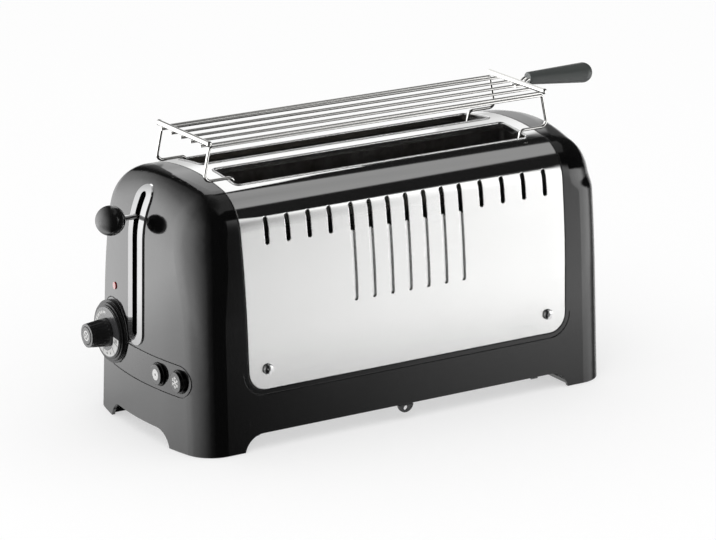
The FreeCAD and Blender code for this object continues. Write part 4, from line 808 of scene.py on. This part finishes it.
class EndFacePrint:
    # closed thin shapes drawn on a face that looks along -X; u is to the viewer's right, v is up
    def __init__(self, faceX, centreY, centreZ, sink=0.03 * mm):
        self.bm = bmesh.new()
        self.faceX, self.centreY, self.centreZ, self.sink = faceX, centreY, centreZ, sink

    def point(self, u, v, raised):
        return (self.faceX - raised, self.centreY - u, self.centreZ + v)

    def loop(self, outline, height):
        low = [self.bm.verts.new(self.point(u, v, -self.sink)) for u, v in outline]
        top = [self.bm.verts.new(self.point(u, v, height)) for u, v in outline]
        for i in range(len(outline)):
            j = (i + 1) % len(outline)
            self.bm.faces.new((low[i], low[j], top[j], top[i]))
        self.bm.faces.new(top)
        self.bm.faces.new(list(reversed(low)))

    def band(self, startAngle, endAngle, inner, outer, height, steps=40):
        # a band round the centre; inner and outer may be functions of the angle
        closed = abs(endAngle - startAngle) >= 360
        rows = []
        for i in range(steps if closed else steps + 1):
            angle = startAngle + (endAngle - startAngle) * i / steps
            radii = [r(angle) if callable(r) else r for r in (inner, outer)]
            rows.append([self.bm.verts.new(self.point(*clockPoint(r, angle), h))
                         for r in radii for h in (-self.sink, height)])
        count = len(rows)
        for i in range(count if closed else count - 1):
            a, b = rows[i], rows[(i + 1) % count]
            for p, q in ((0, 1), (1, 3), (3, 2), (2, 0)):
                self.bm.faces.new((a[p], a[q], b[q], b[p]))
        if not closed:
            for row in (rows[0], rows[-1]):
                self.bm.faces.new((row[0], row[1], row[3], row[2]))

    def disc(self, u, v, radius, height, steps=32):
        self.loop([(u + radius * math.cos(2 * math.pi * i / steps),
                    v + radius * math.sin(2 * math.pi * i / steps)) for i in range(steps)], height)

    def stroke(self, start, end, width, height, steps=8):
        # a line with round ends
        (u0, v0), (u1, v1) = start, end
        along = math.atan2(v1 - v0, u1 - u0)
        outline = []
        for (u, v), turn in (((u1, v1), -math.pi / 2), ((u0, v0), math.pi / 2)):
            for i in range(steps + 1):
                a = along + turn + math.pi * i / steps
                outline.append((u + width / 2 * math.cos(a), v + width / 2 * math.sin(a)))
        self.loop(outline, height)


def endFace(name, forward=0.0):
    # print on the face of a node that looks along -X, or a little in front of it
    low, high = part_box(name)
    centre = (low + high) / 2
    return EndFacePrint(low.x - forward, centre.y, centre.z)


# print stands off its face, and strokes that cross differ a little in height
raised = {"sign": 0.08 * mm, "mark": 0.05 * mm}

# cancel sign on the button in the middle of the browning knob
cancelSign = {"ringInner": 3.3 * mm, "ringOuter": 4.5 * mm, "steps": 48, "cross": 2.0 * mm,
              "width": 1.0 * mm, "raised": (0.07 * mm, 0.06 * mm)}


def drawCancelSign(spec):
    face = endFace("cancel_button")
    face.band(0, 360, spec["ringInner"], spec["ringOuter"], raised["sign"], spec["steps"])
    reach = spec["cross"]
    for lean, height in zip((1, -1), spec["raised"]):
        face.stroke((-reach, -reach * lean), (reach, reach * lean), spec["width"], height)
    keepPiece("cancelSign", face.bm, printWhite, "cancel")


# bagel sign: a white round with a small hole
bagelSign = {"hole": 1.1 * mm, "round": 4.8 * mm, "steps": 48}


def drawBagelSign(spec):
    face = endFace("bagel_button")
    face.band(0, 360, spec["hole"], spec["round"], raised["sign"], spec["steps"])
    keepPiece("bagelSign", face.bm, printWhite, "bagel")


# defrost sign: a snow crystal with six feathered arms
defrostSign = {"arms": 6, "arm": 4.9 * mm, "width": 0.95 * mm, "armRaised": 0.06 * mm,
               "feather": 1.7 * mm, "featherAt": 3.1 * mm, "featherLean": 52, "featherWidth": 0.75,
               "featherRaised": 0.09 * mm, "step": 0.004 * mm}


def drawDefrostSign(spec):
    face = endFace("defrost_button")
    for arm in range(spec["arms"]):
        angle = 360 / spec["arms"] * arm
        face.stroke((0, 0), clockPoint(spec["arm"], angle), spec["width"],
                    spec["armRaised"] + spec["step"] * arm)
        root = clockPoint(spec["featherAt"], angle)
        for side in (-1, 1):
            feather = clockPoint(spec["feather"], angle + side * spec["featherLean"])
            face.stroke(root, (root[0] + feather[0], root[1] + feather[1]),
                        spec["width"] * spec["featherWidth"],
                        spec["featherRaised"] + spec["step"] * (arm + side))
    keepPiece("defrostSign", face.bm, printWhite, "defrost")


# browning scale: a white wedge that grows round the dial, with dark division marks
browningScale = {
    "start": 95.0, "end": 356.0,
    "inner": [(95, 11.8), (139, 14.3), (180, 16.4), (235, 17.3), (300, 16.9), (356, 16.4)],
    "outer": [(95, 21.3), (235, 21.0), (280, 20.2), (320, 19.4), (356, 18.2)],
    "steps": 96,
    "marks": [112, 139, 200, 232, 264, 292, 318, 340],
    "markWidth": 0.5 * mm, "markInset": (0.5 * mm, 0.2 * mm),
    "numbers": {"1": 329, "2": 305, "3": 278, "4": 248, "5": 216, "6": 158},
    "numeralWidth": 1.0 * mm, "numeralHeight": 1.9 * mm, "numeralStroke": 0.32 * mm,
    "numeralRound": 5, "numeralStep": 0.003 * mm,
    "dot": (18.6 * mm, 178.0), "dotRadius": 0.8 * mm,
    "toast": (17.0 * mm, 103), "toastLines": (-1.5 * mm, 0, 1.5 * mm), "toastHalf": 1.3 * mm,
    "toastStroke": 0.6 * mm,
}
# numerals as one line of strokes each, in halves of their width and height
numerals = {
    "1": [(-0.8, 0.5), (0, 1), (0, -1)],
    "2": [(-1, 0.5), (-0.5, 1), (0.5, 1), (1, 0.5), (0.8, 0), (-1, -1), (1, -1)],
    "3": [(-1, 1), (1, 1), (0, 0.2), (0.8, 0), (1, -0.5), (0.4, -1), (-0.5, -1), (-1, -0.7)],
    "4": [(0.5, -1), (0.5, 1), (-1, -0.4), (1, -0.4)],
    "5": [(1, 1), (-0.8, 1), (-1, 0.1), (0.2, 0.25), (1, -0.2), (0.9, -0.7), (0.2, -1), (-1, -0.8)],
    "6": [(0.7, 1), (-0.6, 0.3), (-1, -0.4), (-0.4, -1), (0.6, -1), (1, -0.5), (0.4, 0), (-0.8, -0.2)],
}


def radiusAt(points, angle):
    # radius of a curve round the dial, given as (angle, millimetres)
    for (a0, r0), (a1, r1) in zip(points, points[1:]):
        if angle <= a1:
            return (r0 + (r1 - r0) * (angle - a0) / (a1 - a0)) * mm
    return points[-1][1] * mm


def drawBrowningScale(spec):
    inner, outer = (lambda angle, edge=spec[key]: radiusAt(edge, angle) for key in ("inner", "outer"))
    wedge = endFace("scale_ring")
    wedge.band(spec["start"], spec["end"], inner, outer, raised["sign"], spec["steps"])
    keepPiece("browningWedge", wedge.bm, printWhite, "base")
    marks = endFace("scale_ring", raised["sign"])
    for angle in spec["marks"]:
        low, high = inner(angle) + spec["markInset"][0], outer(angle) - spec["markInset"][1]
        marks.stroke(clockPoint(low, angle), clockPoint(high, angle), spec["markWidth"], raised["mark"])
    for sign, angle in spec["numbers"].items():
        across, up = clockPoint((inner(angle) + outer(angle)) / 2, angle)
        path = [(across + u * spec["numeralWidth"] / 2, up + v * spec["numeralHeight"] / 2)
                for u, v in numerals[sign]]
        for step, (start, end) in enumerate(zip(path, path[1:])):
            marks.stroke(start, end, spec["numeralStroke"], raised["mark"] + spec["numeralStep"] * step,
                         spec["numeralRound"])
    marks.disc(*clockPoint(*spec["dot"]), spec["dotRadius"], raised["mark"])
    # toast sign at the light end of the wedge
    across, up = clockPoint(*spec["toast"])
    half = spec["toastHalf"]
    for shift in spec["toastLines"]:
        marks.stroke((across + shift, up - half), (across + shift, up + half), spec["toastStroke"],
                     raised["mark"])
    keepPiece("browningMarks", marks.bm, printDark, "base")


drawCancelSign(cancelSign)
drawBagelSign(bagelSign)
drawDefrostSign(defrostSign)
drawBrowningScale(browningScale)
print("signs and scale drawn")


# cross-recessed pan heads on the long sides, in place of the plain screws
panelScrew = {"bladeLength": 5.0 * mm, "bladeWidth": 0.95 * mm, "bladeTaper": (0.35, 0.55),
              "above": 1.0 * mm, "depth": 1.7 * mm, "steps": 48, "sharp": 28,
              "profile": [(0.0, 0.0), (2.6, 0.05), (3.9, 0.35), (4.55, 0.95), (4.8, 1.7), (4.8, 2.2)],
              "shaft": 1.9 * mm, "shaftFrom": 2.2 * mm, "tip": 1.3 * mm, "tipLength": 0.6 * mm,
              "turn": 0.5, "turnPerMetre": 7}


def loosePlaces(name):
    # groups of joined vertices in a node, as (lowest, highest) corners
    bm = bmesh.new()
    bm.from_mesh(nodes[name].data)
    bmesh.ops.remove_doubles(bm, verts=bm.verts, dist=0.01 * mm)
    seen, places = set(), []
    for vert in bm.verts:
        if vert in seen:
            continue
        stack, island = [vert], []
        seen.add(vert)
        while stack:
            here = stack.pop()
            island.append(here.co)
            for edge in here.link_edges:
                other = edge.other_vert(here)
                if other not in seen:
                    seen.add(other)
                    stack.append(other)
        low = Vector([min(co[i] for co in island) for i in range(3)])
        high = Vector([max(co[i] for co in island) for i in range(3)])
        places.append((low, high))
    bm.free()
    return sorted(places, key=lambda place: tuple(place[0]))


def lathe(bm, profile, matrix, steps):
    rings = []
    for radius, depth in profile:
        if radius == 0:
            rings.append([bm.verts.new(matrix @ Vector((0, 0, -depth)))])
            continue
        rings.append([bm.verts.new(matrix @ Vector((radius * math.cos(2 * math.pi * i / steps),
                                                    radius * math.sin(2 * math.pi * i / steps), -depth)))
                      for i in range(steps)])
    for a, b in zip(rings, rings[1:]):
        for i in range(steps):
            j = (i + 1) % steps
            corners = [a[i % len(a)], b[i % len(b)], b[j % len(b)], a[j % len(a)]]
            kept = [v for n, v in enumerate(corners) if v not in corners[:n]]
            if len(kept) > 2:
                bm.faces.new(kept)


def crossCutter(bm, matrix, spec):
    # two crossed blades that narrow as they go down
    thin, narrow = spec["bladeTaper"]
    for turn in (0, 1):
        low, high = [], []
        for du, dv in ((-1, -1), (1, -1), (1, 1), (-1, 1)):
            u, v = du * spec["bladeLength"] / 2, dv * spec["bladeWidth"] / 2
            if turn:
                u, v = -v, u
            high.append(bm.verts.new(matrix @ Vector((u, v, spec["above"]))))
            low.append(bm.verts.new(matrix @ Vector((u * thin, v * narrow, -spec["depth"]))))
        for i in range(4):
            j = (i + 1) % 4
            bm.faces.new((high[i], high[j], low[j], low[i]))
        bm.faces.new(high)
        bm.faces.new(list(reversed(low)))


def cutPiece(obj, bm, name):
    tool = bpy.data.objects.new(name, meshFrom(name, bm))
    scene.collection.objects.link(tool)
    cut = obj.modifiers.new("cut", "BOOLEAN")
    cut.object = tool
    cut.operation = "DIFFERENCE"
    cut.solver = "EXACT"
    cut.use_self = True
    done = bpy.data.meshes.new_from_object(obj.evaluated_get(bpy.context.evaluated_depsgraph_get()))
    obj.modifiers.clear()
    obj.data = done
    bpy.data.objects.remove(tool)


def makePanelScrews(spec):
    heads, cutters = bmesh.new(), bmesh.new()
    for low, high in loosePlaces("panel_screws"):
        centre = (low + high) / 2
        side = -1 if centre.y < 0 else 1
        faceY = low.y if side < 0 else high.y
        inner = high.y if side < 0 else low.y
        turn = spec["turn"] + centre.x * spec["turnPerMetre"]
        matrix = (Matrix.Translation((centre.x, faceY, centre.z))
                  @ Matrix.Rotation(math.radians(90 if side < 0 else -90), 4, "X")
                  @ Matrix.Rotation(turn, 4, "Z"))
        reach = abs(inner - faceY)
        shape = [(r * mm, d * mm) for r, d in spec["profile"]]
        shape += [(spec["shaft"], spec["shaftFrom"]), (spec["shaft"], reach - spec["tipLength"]),
                  (spec["tip"], reach), (0, reach)]
        lathe(heads, shape, matrix, spec["steps"])
        crossCutter(cutters, matrix, spec)
    obj = keepPiece("panelScrews", heads, finishes["chrome_plate"], "base")
    cutPiece(obj, cutters, "screwCutter")
    smooth(obj)
    obj.data.set_sharp_from_angle(angle=math.radians(spec["sharp"]))
    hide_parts("panel_screws")


makePanelScrews(panelScrew)
print("screws made")


# weld nuggets where the rack's wires lie on its bars
rackWeld = {"across": 1.5 * mm, "along": 2.2 * mm, "drop": 0.9 * mm,
            "lump": 0.08, "wave": (4100, 3700), "shift": 1}


def makeRackWelds(spec):
    bm = bmesh.new()
    waveX, waveY = spec["wave"]
    wires = loosePlaces("rack_wires")
    for barLow, barHigh in loosePlaces("rack_cross_bars"):
        for wireLow, wireHigh in wires:
            centre = Vector(((barLow.x + barHigh.x) / 2, (wireLow.y + wireHigh.y) / 2, barLow.z))
            shape = Matrix.Translation(centre) @ Matrix.Diagonal(
                (spec["across"], spec["along"], spec["drop"], 1))
            made = bmesh.ops.create_icosphere(bm, subdivisions=3, radius=1, matrix=shape)
            for vert in made["verts"]:
                lump = math.sin(vert.co.x * waveX) * math.sin(vert.co.y * waveY + spec["shift"])
                vert.co += (vert.co - centre) * spec["lump"] * lump
    smooth(keepPiece("rackWelds", bm, finishes["rack_wire"], "rack"))


makeRackWelds(rackWeld)
print("rack welds made")


# open coil in place of the plain return spring, made at one length and attached to no body; the real spring
# lengthens and shortens with the carriage
returnSpring = {"turns": 15, "radius": 3.5 * mm, "wire": 0.5 * mm, "perTurn": 20, "roundWire": 8}


def makeReturnSpring(spec):
    low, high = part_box("return_spring")
    centre = (low + high) / 2
    bottom, top = low.z + spec["wire"], high.z - spec["wire"]
    climb = (top - bottom) / (2 * math.pi * spec["turns"])
    lean = math.atan2(climb, spec["radius"])
    around = [2 * math.pi * k / spec["roundWire"] for k in range(spec["roundWire"])]
    bm = bmesh.new()
    rings = []
    for i in range(spec["turns"] * spec["perTurn"] + 1):
        angle = 2 * math.pi * i / spec["perTurn"]
        out = Vector((math.cos(angle), math.sin(angle), 0))
        side = Vector((out.y * math.sin(lean), -out.x * math.sin(lean), math.cos(lean)))
        middle = Vector((centre.x, centre.y, bottom + climb * angle)) + out * spec["radius"]
        rings.append([bm.verts.new(middle + (out * math.cos(a) + side * math.sin(a)) * spec["wire"])
                      for a in around])
    for a, b in zip(rings, rings[1:]):
        for k in range(spec["roundWire"]):
            j = (k + 1) % spec["roundWire"]
            bm.faces.new((a[k], a[j], b[j], b[k]))
    bm.faces.new(rings[0])
    bm.faces.new(list(reversed(rings[-1])))
    obj = keepPiece("returnSpring", bm, finishes["galvanised"], None)
    smooth(obj)
    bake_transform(obj)
    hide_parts("return_spring")


makeReturnSpring(returnSpring)
print("return spring made")

print("pieces in place")
